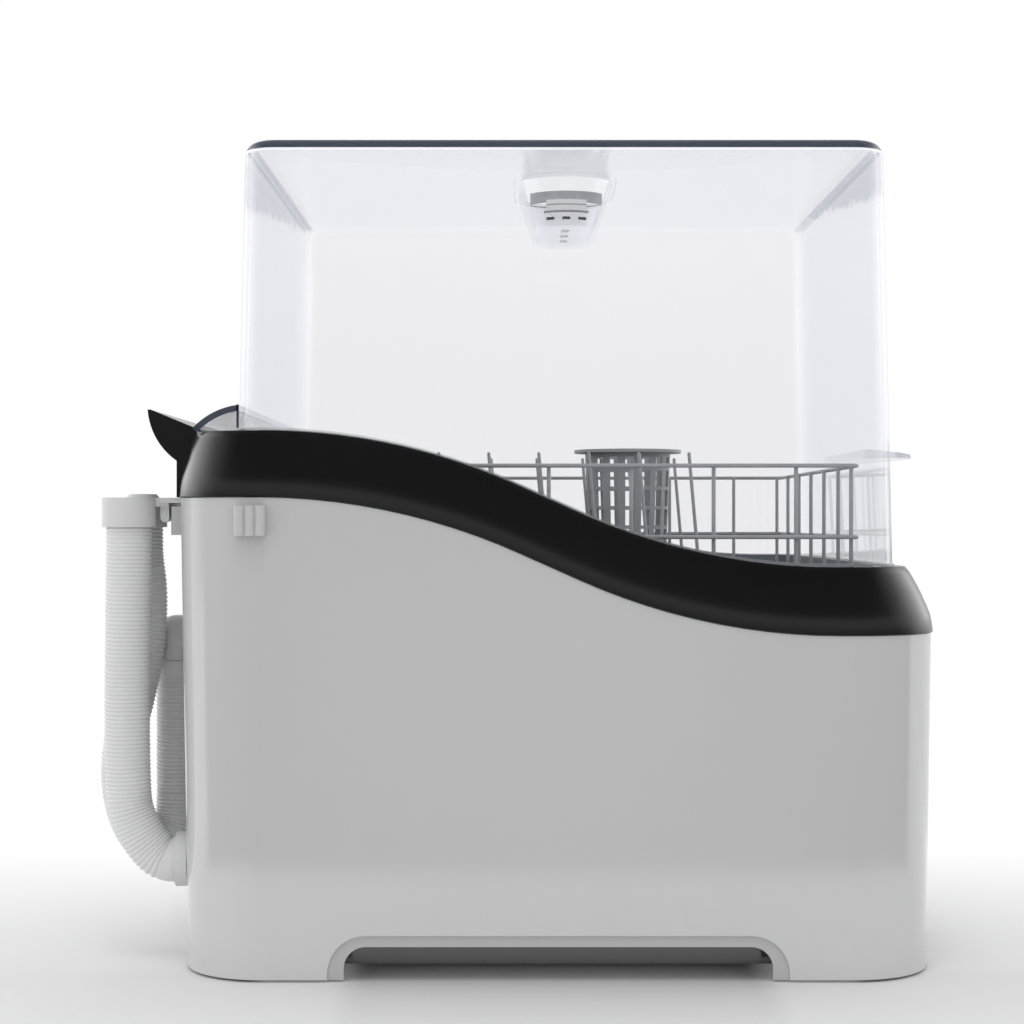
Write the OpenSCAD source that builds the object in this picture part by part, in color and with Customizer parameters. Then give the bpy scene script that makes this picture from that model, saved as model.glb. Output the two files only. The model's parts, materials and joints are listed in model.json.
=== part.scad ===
// Countertop dishwasher: a light moulded body, a black wave-shaped rim, and a clear lid hinged at the rear.
// +X is the front, -X the rear with the hoses, +Z is up. The worktop is z = 0.
// The origin is on the worktop, under the middle of the whole machine with its hose bracket and lid tab.

/* [Body] */
// How far the body's own middle lies ahead of the origin
machine_x = 15; // [5:1:25]
// Length of the body at the foot of its skirt
body_l = 421; // [415:1:430]
// Width of the body at the foot of its skirt
body_w = 402; // [396:1:412]
// Radius of the body's upright corners at the foot of the skirt
body_r = 48; // [44:1:52]
// Wall thickness of the body
body_wall = 3; // [2:0.5:4]
// Outward lean of the body's walls, in millimetres for each millimetre of height
body_lean = 0.016; // [0.01:0.002:0.02]
// Height of the skirt's foot above the worktop
skirt_gap = 1.5; // [1:0.5:2.5]
// Half length of each hand hold in the skirt, at its foot
hold_half = 118; // [90:1:130]
// Height of each hand hold's roof above the worktop
hold_h = 19.5; // [16:0.5:26]
// How far a hand hold reaches in from the outside of the wall
hold_depth = 30; // [24:1:36]
// Width of the slanted border round a hand hold
hold_border = 9; // [6:1:12]

/* [Wave of the rim] */
// Height of the rim's top edge at the rear
rear_h = 304; // [298:1:312]
// Drop of the rim from the rear to the front
drop = 76; // [70:1:84]
// Radius of the wave's two bends
wave_r = 350; // [320:5:370]
// Steepest slope of the wave in degrees
wave_a = 24; // [23:0.5:26]
// How far behind the body's middle the wave starts
wave_back = 165; // [160:1:170]

/* [Rim] */
// Height of the rim from its joint with the body to its top edge
rim_h = 37.5; // [34:0.5:42]
// Wall thickness of the rim
rim_wall = 3; // [2:0.5:3.5]
// How far the rim stands out over the body
rim_over = 1; // [0.5:0.5:2]
// Height of the rim's nearly upright foot
rim_foot = 10; // [8:1:13]
// How far the rim's top edge lies in from its foot, at the front and the sides
rim_in = 14.5; // [12:0.5:17]
// How far the rim's top edge lies in from its foot, at the rear
rim_in_rear = 8.5; // [7:0.5:10]
// Depth of the rim's inner skin below its top
rim_skirt = 22; // [18:1:26]
// Radius of the corners of the rim's opening
bore_r = 14; // [12:1:16]

/* [Lid] */
// How much shorter the lid's top is than the foot of the body's skirt
lid_short = 58.4; // [55:0.2:64]
// How much narrower the lid's top is than the foot of the body's skirt
lid_narrow = 45; // [42:1:50]
// How far the lid's middle lies ahead of the body's middle
lid_ahead = 4; // [2:0.5:6]
// Height of the lid's top above the worktop
lid_h = 468.5; // [455:0.5:490]
// Radius of the lid's upright corners at the top
lid_r = 19; // [17:1:22]
// Wall thickness of the lid
lid_wall = 3; // [2.5:0.5:3.5]
// Outward lean of the lid's walls going down, in millimetres for each millimetre
lid_lean = 0.0225; // [0.018:0.0005:0.024]
// Radius of the lid's top edge
lid_edge = 8; // [6:1:10]
// Thickness of the seal under the lid's edge
seal_h = 1.5; // [1:0.25:2]
// Width of the seal
seal_w = 6; // [5:0.5:7]
// Radius of the lid's rounded rear cover
cover_r = 25; // [23:0.5:26]
// Wall thickness of the rear cover
cover_wall = 3; // [2:0.5:3.5]
// Width of the front tab along the lid's wall
tab_w = 160; // [120:5:180]
// How far the front tab stands out
tab_out = 42; // [30:1:46]
// Height of the front tab's middle above the worktop
tab_z = 294.5; // [285:0.5:330]
// Thickness of the front tab at its root
tab_root = 6; // [5:0.5:8]
// Thickness of the front tab at its tip
tab_tip = 2; // [1.5:0.5:3]
// Radius of the ends of the grip in the lid's top, at its flange
grip_r = 32.5; // [28:0.5:36]
// Distance between the centres of the grip's round ends
grip_span = 69; // [50:1:80]
// Depth of the grip's bowl
grip_depth = 31; // [24:1:34]
// Radius of the ends of the grip's floor
grip_floor_r = 19.5; // [16:0.5:22]
// Wall thickness of the grip
grip_wall = 2; // [1.5:0.5:2.5]
// Thickness of the grip's flange, let into the lid's top
grip_flange = 1.5; // [1:0.25:1.75]

/* [Hinge] */
// How far the hinge axis lies in from the rear foot of the body's skirt
hinge_in = 0.6; // [0.2:0.1:1.6]
// How far the hinge axis lies under the rim's top edge
hinge_drop = 14; // [13:0.5:15]
// Radius of the hinge bar's barrel
barrel_r = 7.5; // [6.5:0.5:8]
// Length of the hinge bar
bar_l = 298; // [280:2:300]
// Radius of the hinge pins
pin_r = 2.5; // [2:0.25:3]
// Running clearance of the bar on its pins
pin_gap = 0.05; // [0.03:0.01:0.1]
// Length of a hinge pin
pin_l = 24; // [20:1:28]
// Length of the hinge housing between the rim's rear corners
housing_l = 330; // [324:2:336]
// How far the hinge bar's lip reaches behind the hinge axis
lip_out = 23.5; // [20:0.5:25]
// Height of the lip's edge above the hinge axis
lip_up = 27.7; // [24:0.1:30]

/* [Tub and washing parts] */
// Wall thickness of the tub
tub_wall = 2; // [1.5:0.5:2.5]
// Height of the tub's floor above the worktop
tub_floor = 118; // [114:1:124]
// How far the tub's edge stands up above the rim
tub_up = 1; // [0.5:0.5:3]
// Height of the ledge that carries the basket
ledge_z = 186.2; // [180:0.2:190]
// Width of the ledge
ledge_w = 6; // [5:0.5:7]
// Radius of the sump
sump_r = 42; // [36:1:46]
// Depth of the sump below the tub's floor
sump_depth = 30; // [24:1:36]
// Length of the spray arm from tip to tip
arm_l = 300; // [260:5:310]
// Width of the spray arm
arm_w = 34; // [28:1:40]
// Height of the spray arm's underside above the tub's floor
arm_rise = 20; // [16:1:26]
// Radius of the spray arm's bearing post
post_r = 8; // [7:0.5:10]
// Running clearance of the spray arm on its post
post_gap = 0.06; // [0.04:0.01:0.1]

/* [Basket] */
// Gap between the basket and the tub at each side
basket_side_gap = 4.1; // [3.1:0.1:8]
// Gap between the basket and the tub at each end
basket_end_gap = 6.9; // [5.9:0.1:9]
// How far the basket's middle lies ahead of the tub's middle
basket_ahead = 1; // [0:0.5:2]
// Height of the basket's top rail
rail_z = 285; // [280:1:290]
// Height of the basket's middle rail
mid_z = 244.5; // [236:0.5:250]
// Thickness of the basket's main wires
wire_d = 3; // [2.5:0.25:3.5]
// Thickness of the plate tines
tine_d = 2.5; // [2:0.25:3]
// Height of the plate tines' tips
tine_z = 297; // [290:1:302]
// Distance between the plate tines
tine_pitch = 31.5; // [28:0.5:34]
// Lean of the plate tines in degrees
tine_a = 5; // [4:0.5:7]
// Distance between the upright wires of the long walls, and between the floor's wires
grid_pitch = 46.8; // [40:0.2:52]

/* [Cutlery cup] */
// How far the cup's middle lies ahead of the body's middle
cup_ahead = 50; // [48:1:52]
// Height of the cup's flange
cup_z = 300; // [296:1:304]
// Radius of the cup's flange
cup_flange_r = 35; // [33:0.5:36]
// Radius of the cup's wall at the top
cup_r = 28; // [26:0.5:29]
// Radius of the cup's wall at the foot
cup_foot_r = 24; // [22:0.5:25]
// Wall thickness of the cup
cup_wall = 1.8; // [1.4:0.1:2]
// Number of slots round the cup
cup_slots = 16; // [12:2:18]

/* [Hoses and fittings] */
// Outer diameter of the drain hose
drain_d = 26.4; // [24:0.2:27]
// Outer diameter of the inlet hose
inlet_d = 24.4; // [22:0.2:25]
// Outer radius of the bracket's collars
collar_r = 15.3; // [15:0.1:16]
// Clearance of a hose in its collar
collar_gap = 0.3; // [0.2:0.05:0.4]
// Height of the collars
collar_h = 17; // [15:0.5:21]
// How far the bracket's top lies above the body's rear edge
bracket_up = 0.5; // [0:0.5:1.5]

/* [Controls] */
// Width of the control panel
panel_w = 170; // [150:2:190]
// Height of the control panel
panel_h = 34; // [30:1:36]
// How far the panel's middle lies under the body's front edge
panel_drop = 38.5; // [33:0.5:44]
// Radius of the push buttons
button_r = 6; // [5:0.5:7]
// Travel of the push buttons
button_travel = 0.8; // [0.4:0.1:1]
// Clearance round a push button
button_gap = 0.3; // [0.2:0.05:0.4]

/* [Hidden] */

// Clearances shared by the fits
seam = 0.3;
far = 320;
fine = 180;
round_fn = 72;
small_fn = 32;

// Colours
shell_grey = [0.80, 0.80, 0.81];
gloss_black = [0.07, 0.07, 0.075];
clear_blue = [0.85, 0.89, 0.93, 0.35];
tub_grey = [0.45, 0.48, 0.50];
wire_grey = [0.55, 0.57, 0.58];
hose_grey = [0.82, 0.83, 0.84];
steel = [0.70, 0.71, 0.72];
dark_rubber = [0.18, 0.18, 0.19];
pump_grey = [0.35, 0.36, 0.38];
board_green = [0.12, 0.36, 0.20];

// Corner centres of the body's plan and of the lid's plan
body_cx = body_l / 2 - body_r;
body_cy = body_w / 2 - body_r;
lid_l = body_l - lid_short;
lid_w = body_w - lid_narrow;
lid_cx = lid_l / 2 - lid_r;
lid_cy = lid_w / 2 - lid_r;

// The wave, seen from the side
wave_sin = sin(wave_a);
wave_cos = cos(wave_a);
ramp_l = (drop - 2 * wave_r * (1 - wave_cos)) / wave_sin;
wave_start = -wave_back;
bend_1_x = wave_start + wave_r * wave_sin;
bend_1_drop = wave_r * (1 - wave_cos);
bend_2_x = bend_1_x + ramp_l * wave_cos;
wave_end = bend_2_x + wave_r * wave_sin;

// Drop of the wave below its rear height at a distance x ahead of the body's middle
function wave(x) =
    x <= wave_start ? 0 :
    x < bend_1_x ? wave_r - sqrt(wave_r * wave_r - pow(x - wave_start, 2)) :
    x < bend_2_x ? bend_1_drop + (x - bend_1_x) * wave_sin / wave_cos :
    x < wave_end ? drop - wave_r + sqrt(wave_r * wave_r - pow(wave_end - x, 2)) :
    drop;

joint_h = rear_h - rim_h;
panel_z = joint_h - drop - panel_drop;

// Hinge axis, and the lid's rounded rear cover, whose foot stands on the hinge bar
hinge_back = body_l / 2 - hinge_in;
hinge_z = rear_h - hinge_drop;
cover_x = lid_ahead - lid_l / 2 - 3.5;
cover_z = rear_h - 9;
bar_top_z = hinge_z + 15.5;
cover_foot = bar_top_z + seam;
cover_seat = 2.6;
bar_top_x = cover_x - sqrt(pow(cover_r, 2) - pow(cover_foot - cover_z, 2)) + cover_seat;

// Shifts a piece from the body's own middle to its place over the origin
module seated() {
    translate([machine_x, 0, 0]) children();
}

// Side view of everything under the wave whose rear height is top
module under_wave_outline(top) {
    bend_1_z = top - bend_1_drop;
    bend_2_z = top - drop + bend_1_drop;
    difference() {
        union() {
            polygon([[-far, -far], [far, -far], [far, top - drop], [wave_end, top - drop],
                [bend_2_x, bend_2_z], [bend_1_x, bend_1_z], [wave_start, top], [-far, top]]);
            intersection() {
                translate([wave_start, top - wave_r]) circle(wave_r, $fn = 4 * fine);
                polygon([[wave_start, top], [bend_1_x, bend_1_z], [bend_1_x, top + 1], [wave_start, top + 1]]);
            }
        }
        intersection() {
            translate([wave_end, top - drop + wave_r]) circle(wave_r, $fn = 4 * fine);
            translate([bend_2_x, top - drop - 1]) square([wave_end - bend_2_x, drop]);
        }
    }
}

module under_wave(top) {
    rotate([90, 0, 0]) linear_extrude(2 * far, center = true) under_wave_outline(top);
}

// Sweeps a profile, drawn as radius and height, round a rectangle with its corner centres at +-cx and +-cy
module around(cx, cy) {
    for (corner = [[1, 1, 0], [-1, 1, 90], [-1, -1, 180], [1, -1, 270]])
        translate([corner[0] * cx, corner[1] * cy, 0]) rotate(corner[2])
            rotate_extrude(angle = 90, $fn = round_fn) children();
    for (turn = [0, 180])
        rotate(turn) translate([cx, 0, 0]) rotate([90, 0, 0]) linear_extrude(2 * cy, center = true) children();
    if (cx > 0)
        for (turn = [90, 270])
            rotate(turn) translate([cy, 0, 0]) rotate([90, 0, 0]) linear_extrude(2 * cx, center = true) children();
}

// A block with round upright corners, from z0 to z1
module round_block(cx, cy, r, z0, z1) {
    translate([0, 0, z0]) linear_extrude(z1 - z0) {
        for (sx = [-1, 1], sy = [-1, 1])
            translate([sx * cx, sy * cy]) circle(r, $fn = round_fn);
        if (cx > 0)
            square([2 * cx, 2 * (cy + r)], center = true);
        square([2 * (cx + r), 2 * cy], center = true);
    }
}

// ---------------------------------------------------------------- body

function body_r_at(z) = body_r + body_lean * z;

// Outer side of the body's wall, from the corner centre outwards
module body_side(inset, foot) {
    polygon([[0, foot], [body_r_at(foot) - inset, foot], [body_r_at(far) - inset, far], [0, far]]);
}

module body_block(inset, foot) {
    around(body_cx, body_cy) body_side(inset, foot);
    translate([-body_cx, -body_cy, foot]) cube([2 * body_cx, 2 * body_cy, far - foot]);
}

// Arch of a hand hold, seen from the side
module arch(half, height, r) {
    translate([-half, -far]) square([2 * half, far + height - r]);
    translate([-half + r, 0]) square([2 * (half - r), height]);
    for (side = [-1, 1])
        translate([side * (half - r), height - r]) circle(r, $fn = round_fn);
}

hold_top_r = 12;
wall_foot_y = body_w / 2;

// The hand hold's hole and the sunk border round it, cut from both sides
module hold_cuts() {
    for (side = [-1, 1]) {
        translate([0, side * (wall_foot_y - hold_depth / 2), 0]) rotate([90, 0, 0])
            linear_extrude(hold_depth + 20, center = true) arch(hold_half, hold_h, hold_top_r);
        translate([0, side * (wall_foot_y + 5 - body_wall / 3), 0]) rotate([90, 0, 0])
            linear_extrude(10, center = true)
                arch(hold_half + hold_border, hold_h + hold_border * 0.7, hold_top_r + hold_border);
    }
}

screw_out = 29;
boss_r = 6;
screw_r = 1.6;
tray_z = 4;
tray_t = 2.5;
boss_h = 26;

function screw_places() = [for (sx = [-1, 1], sy = [-1, 1]) [sx * (body_cx + screw_out), sy * (body_cy + screw_out)]];

module body_shell() {
    color(shell_grey) seated() difference() {
        union() {
            intersection() {
                difference() {
                    body_block(0, skirt_gap);
                    body_block(body_wall, skirt_gap - 1);
                }
                under_wave(joint_h);
            }
            // bosses for the tray's screws
            for (p = screw_places())
                translate([p[0], p[1], tray_z + tray_t]) cylinder(r = boss_r, h = boss_h, $fn = small_fn);
        }
        hold_cuts();
        for (p = screw_places())
            translate([p[0], p[1], 0]) cylinder(r = screw_r + pin_gap, h = 24, $fn = small_fn);
        // window for the control panel
        on_front(panel_z) panel_block(-20, 20, panel_w - 8, panel_h - 8, 3);
        // holes for the drain outlet and the inlet elbow
        translate([0, drain_y, outlet_z]) rotate([0, -90, 0])
            cylinder(r = spigot_r + seam, h = far, $fn = small_fn);
        translate([0, inlet_up_y, elbow_z]) rotate([0, -90, 0])
            cylinder(r = spigot_r + seam, h = far, $fn = small_fn);
    }
}

// ---------------------------------------------------------------- base

hold_box_wall = 2;
tray_rib_half = body_cx - 12.5;
tray_rib_t = 2;
wash_cradle_l = 48;
wash_cradle_w = 52;
vent_w = 3;
vent_l = 26;

// Pocket that closes a hand hold off from the inside
module hold_pocket(grow, foot) {
    for (side = [-1, 1])
        translate([-hold_half - 4 - grow, side > 0 ? wall_foot_y - hold_depth - grow : -wall_foot_y - 20, foot])
            cube([2 * (hold_half + 4 + grow), hold_depth + grow + 20, hold_h + 4.5 + grow - foot]);
}

module base_tray() {
    color(shell_grey) seated() difference() {
        union() {
            difference() {
                union() {
                    round_block(body_cx, body_cy, body_r - body_wall - seam, tray_z, tray_z + tray_t);
                    intersection() {
                        hold_pocket(hold_box_wall, tray_z);
                        round_block(body_cx, body_cy, body_r - body_wall - seam, 0, far);
                    }
                    // stiffening ribs
                    for (y = [-96, -32, 32, 96])
                        translate([-tray_rib_half, y - tray_rib_t / 2, tray_z + tray_t])
                            cube([2 * tray_rib_half, tray_rib_t, 5]);
                }
                hold_pocket(0, 0);
            }
            // cradles for the pumps and the heater
            translate([wash_x - 28, wash_y - wash_cradle_w / 2, tray_z + tray_t])
                cube([wash_cradle_l, wash_cradle_w, wash_z - wash_r - tray_z - tray_t + 8]);
            translate([drain_x - 16, drain_pump_y - 16, tray_z + tray_t])
                cube([32, 32, drain_pump_z - drain_pump_r - tray_z - tray_t + 6]);
            translate([heater_x - 14, heater_y - 40, tray_z + tray_t])
                cube([28, 80, heater_z - heater_r - tray_z - tray_t + 6]);
        }
        translate([wash_x, wash_y, wash_z]) rotate([0, 90, 0])
            cylinder(r = wash_r + seam, h = 200, center = true, $fn = round_fn);
        translate([drain_x, drain_pump_y, drain_pump_z]) rotate([0, 90, 0])
            cylinder(r = drain_pump_r + seam, h = 100, center = true, $fn = round_fn);
        translate([heater_x, heater_y, heater_z]) rotate([90, 0, 0])
            cylinder(r = heater_r + seam, h = 200, center = true, $fn = round_fn);
        for (p = screw_places())
            translate([p[0], p[1], 0]) {
                cylinder(r = screw_r + 0.4, h = 20, $fn = small_fn);
            }
        // sockets for the feet's studs
        for (p = foot_places())
            translate([p[0], p[1], 0]) cylinder(r = foot_stud_r + 0.1, h = 20, $fn = small_fn);
        // cooling slots under the wash pump
        for (i = [0:6])
            translate([wash_x - 70 + i * 8, wash_y - 62, 0]) cube([vent_w, vent_l, 20]);
    }
}

foot_r = 11;
foot_stud_r = 3;

function foot_places() = [for (sx = [-1, 1], sy = [-1, 1]) [sx * (body_cx + 8), sy * (body_cy + 8)]];

module feet() {
    color(dark_rubber) seated() for (p = foot_places())
        translate([p[0], p[1], 0]) {
            cylinder(r1 = foot_r - 1, r2 = foot_r, h = tray_z, $fn = round_fn);
            translate([0, 0, tray_z]) cylinder(r = foot_stud_r, h = 5, $fn = small_fn);
        }
}

module base_screws() {
    color(steel) seated() for (p = screw_places())
        translate([p[0], p[1], tray_z - 2]) difference() {
            union() {
                cylinder(r = 3.2, h = 2, $fn = small_fn);
                cylinder(r = screw_r, h = 18, $fn = small_fn);
            }
            translate([0, 0, -1]) cylinder(r = 1.5, h = 2, $fn = 6);
        }
}

// ---------------------------------------------------------------- rim

// Stations round the plan: side of the corner centre in x and y, and the outward direction.
// The corners are quarter turns, and the long sides have a station every few millimetres, for the wave.
corner_steps = 8;
side_steps = 36;
function corner(sx, sy, from) = [for (i = [0:corner_steps])
    let (a = from + i * 90 / corner_steps) [sx, sy, cos(a), sin(a)]];
function side(sy, from) = [for (i = [1:side_steps - 1])
    let (t = 1 - 2 * i / side_steps) [from * t, sy, 0, sy]];
stations = concat(corner(1, 1, 0), side(1, 1), corner(-1, 1, 90), corner(-1, -1, 180), side(-1, -1),
    corner(1, -1, 270));

// Point at radius r from the body's or the lid's corner centre, at height h over the wave's rear height
function body_point(s, r, h) =
    let (x = s[0] * body_cx + s[2] * r) [x, s[1] * body_cy + s[3] * r, h - wave(x)];
function lid_point(s, r, h) =
    let (x = lid_ahead + s[0] * lid_cx + s[2] * r) [x, s[1] * lid_cy + s[3] * r, h - wave(x)];

// How much a station faces the rear, from 0 to 1
function rearness(s) = pow(max(0, -s[2]), 2);
function rim_r(s) = body_r_at(joint_h - wave(s[0] * body_cx + s[2] * body_r)) + rim_over;
function inset_at(s) = rim_in + (rim_in_rear - rim_in) * rearness(s);

// A ring through all the stations, from a list of its section's points at each station
module ring_of(sections) {
    n = len(sections);
    m = len(sections[0]);
    polyhedron(
        points = [for (section = sections) for (p = section) p],
        faces = [for (i = [0:n - 1]) for (j = [0:m - 1])
            let (next = (i + 1) % n, a = i * m + j, b = i * m + (j + 1) % m, c = next * m + (j + 1) % m,
                d = next * m + j)
            for (face = [[a, b, c], [a, c, d]]) face]);
}

// The rim's section at a station: up the outside, across the top, down the inner skin, and back inside
function rim_section(s) =
    let (r = rim_r(s), d = inset_at(s), low = rear_h - rim_h + seam, foot = rear_h - rim_h + rim_foot)
    [body_point(s, r, low),
     body_point(s, r - d * 0.09, foot),
     body_point(s, r - d * 0.55, rear_h - (rim_h - rim_foot) * 0.45),
     body_point(s, r - d * 0.93, rear_h - 2.6),
     body_point(s, r - d, rear_h - 0.8),
     body_point(s, r - d - 1.2, rear_h),
     lid_point(s, bore_r, rear_h),
     lid_point(s, bore_r, rear_h - rim_skirt),
     lid_point(s, bore_r + rim_wall, rear_h - rim_skirt),
     lid_point(s, bore_r + rim_wall, rear_h - rim_wall),
     body_point(s, r - d * 0.93 - rim_wall, rear_h - rim_wall),
     body_point(s, r - d * 0.55 - rim_wall, rear_h - (rim_h - rim_foot) * 0.45 - 1),
     body_point(s, r - d * 0.09 - rim_wall, foot - 1),
     body_point(s, r - rim_wall, low)];

bay_x = bar_top_x + 4.5;
bay_lip = 3;
housing_back = hinge_back + 5.8;
housing_foot = joint_h + seam + 0.2;

module rim() {
    color(gloss_black) seated() difference() {
        ring_of([for (s = stations) rim_section(s)]);
        // bay for the hinge housing
        translate([bay_x - far, -housing_l / 2 - seam, housing_foot - 0.3])
            cube([far, housing_l + 2 * seam, far]);
    }
}

// ---------------------------------------------------------------- hinge

module along_y(length) {
    rotate([90, 0, 0]) linear_extrude(length, center = true) children();
}

bay_floor = hinge_z - 13;
pin_end = bar_l / 2 + 13.5;

module hinge_housing() {
    color(gloss_black) seated() difference() {
        along_y(housing_l) union() {
            translate([-housing_back, housing_foot]) square([housing_back + bay_x - seam, hinge_z - housing_foot]);
            translate([-housing_back + 8, hinge_z]) circle(8, $fn = round_fn);
            translate([-housing_back + 8, hinge_z]) square([housing_back + bay_x - seam - 8, 8]);
        }
        // the bar's bay between the end knuckles
        along_y(bar_l + 1) translate([bay_x - bay_lip - far, bay_floor]) square([far, far]);
        along_y(bar_l + 1) translate([-hinge_back, hinge_z]) circle(barrel_r + 1.5, $fn = round_fn);
        // hollow inside the housing's foot
        along_y(housing_l - 2 * rim_wall - 60)
            translate([-housing_back + rim_wall, housing_foot - 1])
                square([housing_back + bay_x - seam - 2 * rim_wall, 5]);
        // blind bores for the pins
        for (side = [-1, 1])
            translate([-hinge_back, side * (pin_end + 0.5 - pin_l / 2 - 3), hinge_z]) rotate([90, 0, 0])
                cylinder(r = pin_r + 0.02, h = pin_l + 6, center = true, $fn = small_fn);
    }
}

module hinge_pins() {
    color(steel) seated() for (side = [-1, 1])
        translate([-hinge_back, side * (pin_end - pin_l / 2), hinge_z]) rotate([90, 0, 0])
            cylinder(r = pin_r, h = pin_l, center = true, $fn = small_fn);
}

// The bar with its barrel and its curved lip
module hinge_bar() {
    color(gloss_black) seated() difference() {
        along_y(bar_l) union() {
            translate([-hinge_back, hinge_z]) circle(barrel_r, $fn = round_fn);
            polygon([[-hinge_back, hinge_z], [bar_top_x - 2, hinge_z + 5], [bar_top_x, hinge_z + 10],
                [bar_top_x, bar_top_z], [-hinge_back - 8, bar_top_z]]);
            intersection() {
                translate([-hinge_back + 14.2, hinge_z + 30.5]) circle(39.5, $fn = 2 * fine);
                polygon([[-hinge_back - lip_out, hinge_z + lip_up],
                    [bar_top_x - cover_seat - seam, bar_top_z], [bar_top_x, bar_top_z],
                    [-hinge_back, hinge_z - 4], [-hinge_back - lip_out - 20, hinge_z - 8],
                    [-hinge_back - lip_out - 20, hinge_z + lip_up]]);
            }
        }
        for (side = [-1, 1])
            translate([-hinge_back, side * bar_l / 2, hinge_z]) rotate([90, 0, 0])
                cylinder(r = pin_r + pin_gap, h = 26, center = true, $fn = small_fn);
    }
}

// ---------------------------------------------------------------- lid

lid_foot = rear_h + seal_h + seam;

module lid_side(inset) {
    r = lid_r - inset;
    edge = lid_edge - inset;
    top = lid_h - inset;
    polygon([[0, 0], [lid_r + lid_lean * lid_h - inset, 0], [r, top - edge], [0, top - edge]]);
    translate([0, top - edge]) square([r - edge, edge]);
    translate([r - edge, top - edge]) circle(edge, $fn = 48);
}

module lid_block(inset) {
    translate([lid_ahead, 0, 0]) {
        around(lid_cx, lid_cy) intersection() {
            lid_side(inset);
            square([far, 2 * far]);
        }
        translate([-lid_cx, -lid_cy, 0]) cube([2 * lid_cx, 2 * lid_cy, lid_h - inset]);
    }
}

// The rounded cover over the rear deck
module rear_cover() {
    along_y(2 * (lid_cy + lid_r) - 16) intersection() {
        translate([cover_x, cover_z]) difference() {
            circle(cover_r, $fn = fine);
            circle(cover_r - cover_wall, $fn = fine);
        }
        translate([cover_x - far, cover_foot]) square([far + 1.5, far]);
    }
}

module lid() {
    color(clear_blue) seated() {
        difference() {
            union() {
                difference() {
                    lid_block(0);
                    lid_block(lid_wall);
                    under_wave(lid_foot);
                }
                rear_cover();
            }
            // seat for the grip's flange, and the hole for its bowl
            translate([lid_ahead + grip_ahead, 0, 0]) {
                round_block(0, grip_span / 2, grip_r + seam, lid_h - grip_flange - 0.1, lid_h + 1);
                round_block(0, grip_span / 2, grip_r - 3, lid_h - 10, lid_h + 1);
            }
        }
    }
}

grip_ahead = 4;

// Bowl let into the lid's top, to lift it by
module lid_grip() {
    color(clear_blue) seated() translate([lid_ahead + grip_ahead, 0, 0]) difference() {
        union() {
            around(0, grip_span / 2) polygon([[0, lid_h - grip_depth], [grip_floor_r, lid_h - grip_depth],
                [grip_r - 3 - seam, lid_h - lid_wall], [grip_r - 3 - seam, lid_h - grip_flange],
                [grip_r, lid_h - grip_flange], [grip_r, lid_h], [0, lid_h]]);
        }
        around(0, grip_span / 2) polygon([[0, lid_h - grip_depth + grip_wall],
            [grip_floor_r - grip_wall, lid_h - grip_depth + grip_wall],
            [grip_r - 3 - seam - grip_wall, lid_h - lid_wall], [grip_r - 3 - grip_wall, lid_h + 1], [0, lid_h + 1]]);
        // drain holes in the floor
        for (y = [-24, 0, 24])
            translate([0, y, lid_h - grip_depth - 1]) cylinder(r = 2.5, h = 5, $fn = small_fn);
    }
}

tab_wall_x = lid_ahead + lid_cx + lid_r + lid_lean * (lid_h - tab_z);
tab_circle_r = (pow(tab_w / 2, 2) + pow(tab_out, 2)) / (2 * tab_out);

module lid_tab() {
    color(clear_blue) seated() difference() {
        intersection() {
            translate([tab_wall_x + tab_out - tab_circle_r, 0, tab_z - 20])
                cylinder(r = tab_circle_r, h = 40, $fn = fine);
            along_y(tab_w) polygon([[tab_wall_x - 2, tab_z - tab_root / 2], [tab_wall_x + tab_out, tab_z - tab_tip / 2],
                [tab_wall_x + tab_out, tab_z + tab_tip / 2], [tab_wall_x - 2, tab_z + tab_root / 2]]);
        }
        lid_block(-0.1);
    }
}

// Seal between the rim's top and the lid's edge
function lid_r_at(x) = lid_r + lid_lean * (lid_h - rear_h + wave(x));
function seal_section(s) =
    let (r = lid_r_at(lid_ahead + s[0] * lid_cx + s[2] * lid_r) - lid_wall / 2, z = rear_h + 0.05)
    [lid_point(s, r + seal_w / 2, z), lid_point(s, r + seal_w / 2 - 0.8, z + seal_h),
     lid_point(s, r - seal_w / 2 + 0.8, z + seal_h), lid_point(s, r - seal_w / 2, z)];

module lid_seal() {
    color(dark_rubber) seated() ring_of([for (s = stations) seal_section(s)]);
}

// ---------------------------------------------------------------- tub

tub_r = bore_r - 0.4;
tub_bottom = tub_floor - tub_wall;
flange_z = rear_h - rim_skirt - seam;
flange_t = 2.5;
flange_w = 10;

module tub_plan(inset, z0, z1) {
    translate([lid_ahead, 0, 0]) round_block(lid_cx, lid_cy, tub_r - inset, z0, z1);
}

sump_x = lid_ahead + lid_cx - 62.3;
sump_y = -60;
post_x = lid_ahead;

module tub() {
    color(tub_grey) seated() difference() {
        union() {
            intersection() {
                tub_plan(0, tub_bottom, far);
                under_wave(rear_h + tub_up);
            }
            intersection() {
                tub_plan(-flange_w, tub_bottom, far);
                difference() {
                    under_wave(flange_z);
                    under_wave(flange_z - flange_t);
                }
            }
        }
        tub_plan(tub_wall, ledge_z, far + 1);
        tub_plan(tub_wall + ledge_w, tub_floor, ledge_z + 1);
        // space under the ledge, so that the lower wall keeps its thickness
        difference() {
            tub_plan(-1, tub_bottom - 1, ledge_z - tub_wall);
            tub_plan(ledge_w, tub_bottom - 2, ledge_z);
        }
        translate([sump_x, sump_y, 0]) cylinder(r = sump_r - 4, h = far, $fn = round_fn);
        translate([post_x, 0, 0]) cylinder(r = post_r + 3, h = far, $fn = round_fn);
    }
}

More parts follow.
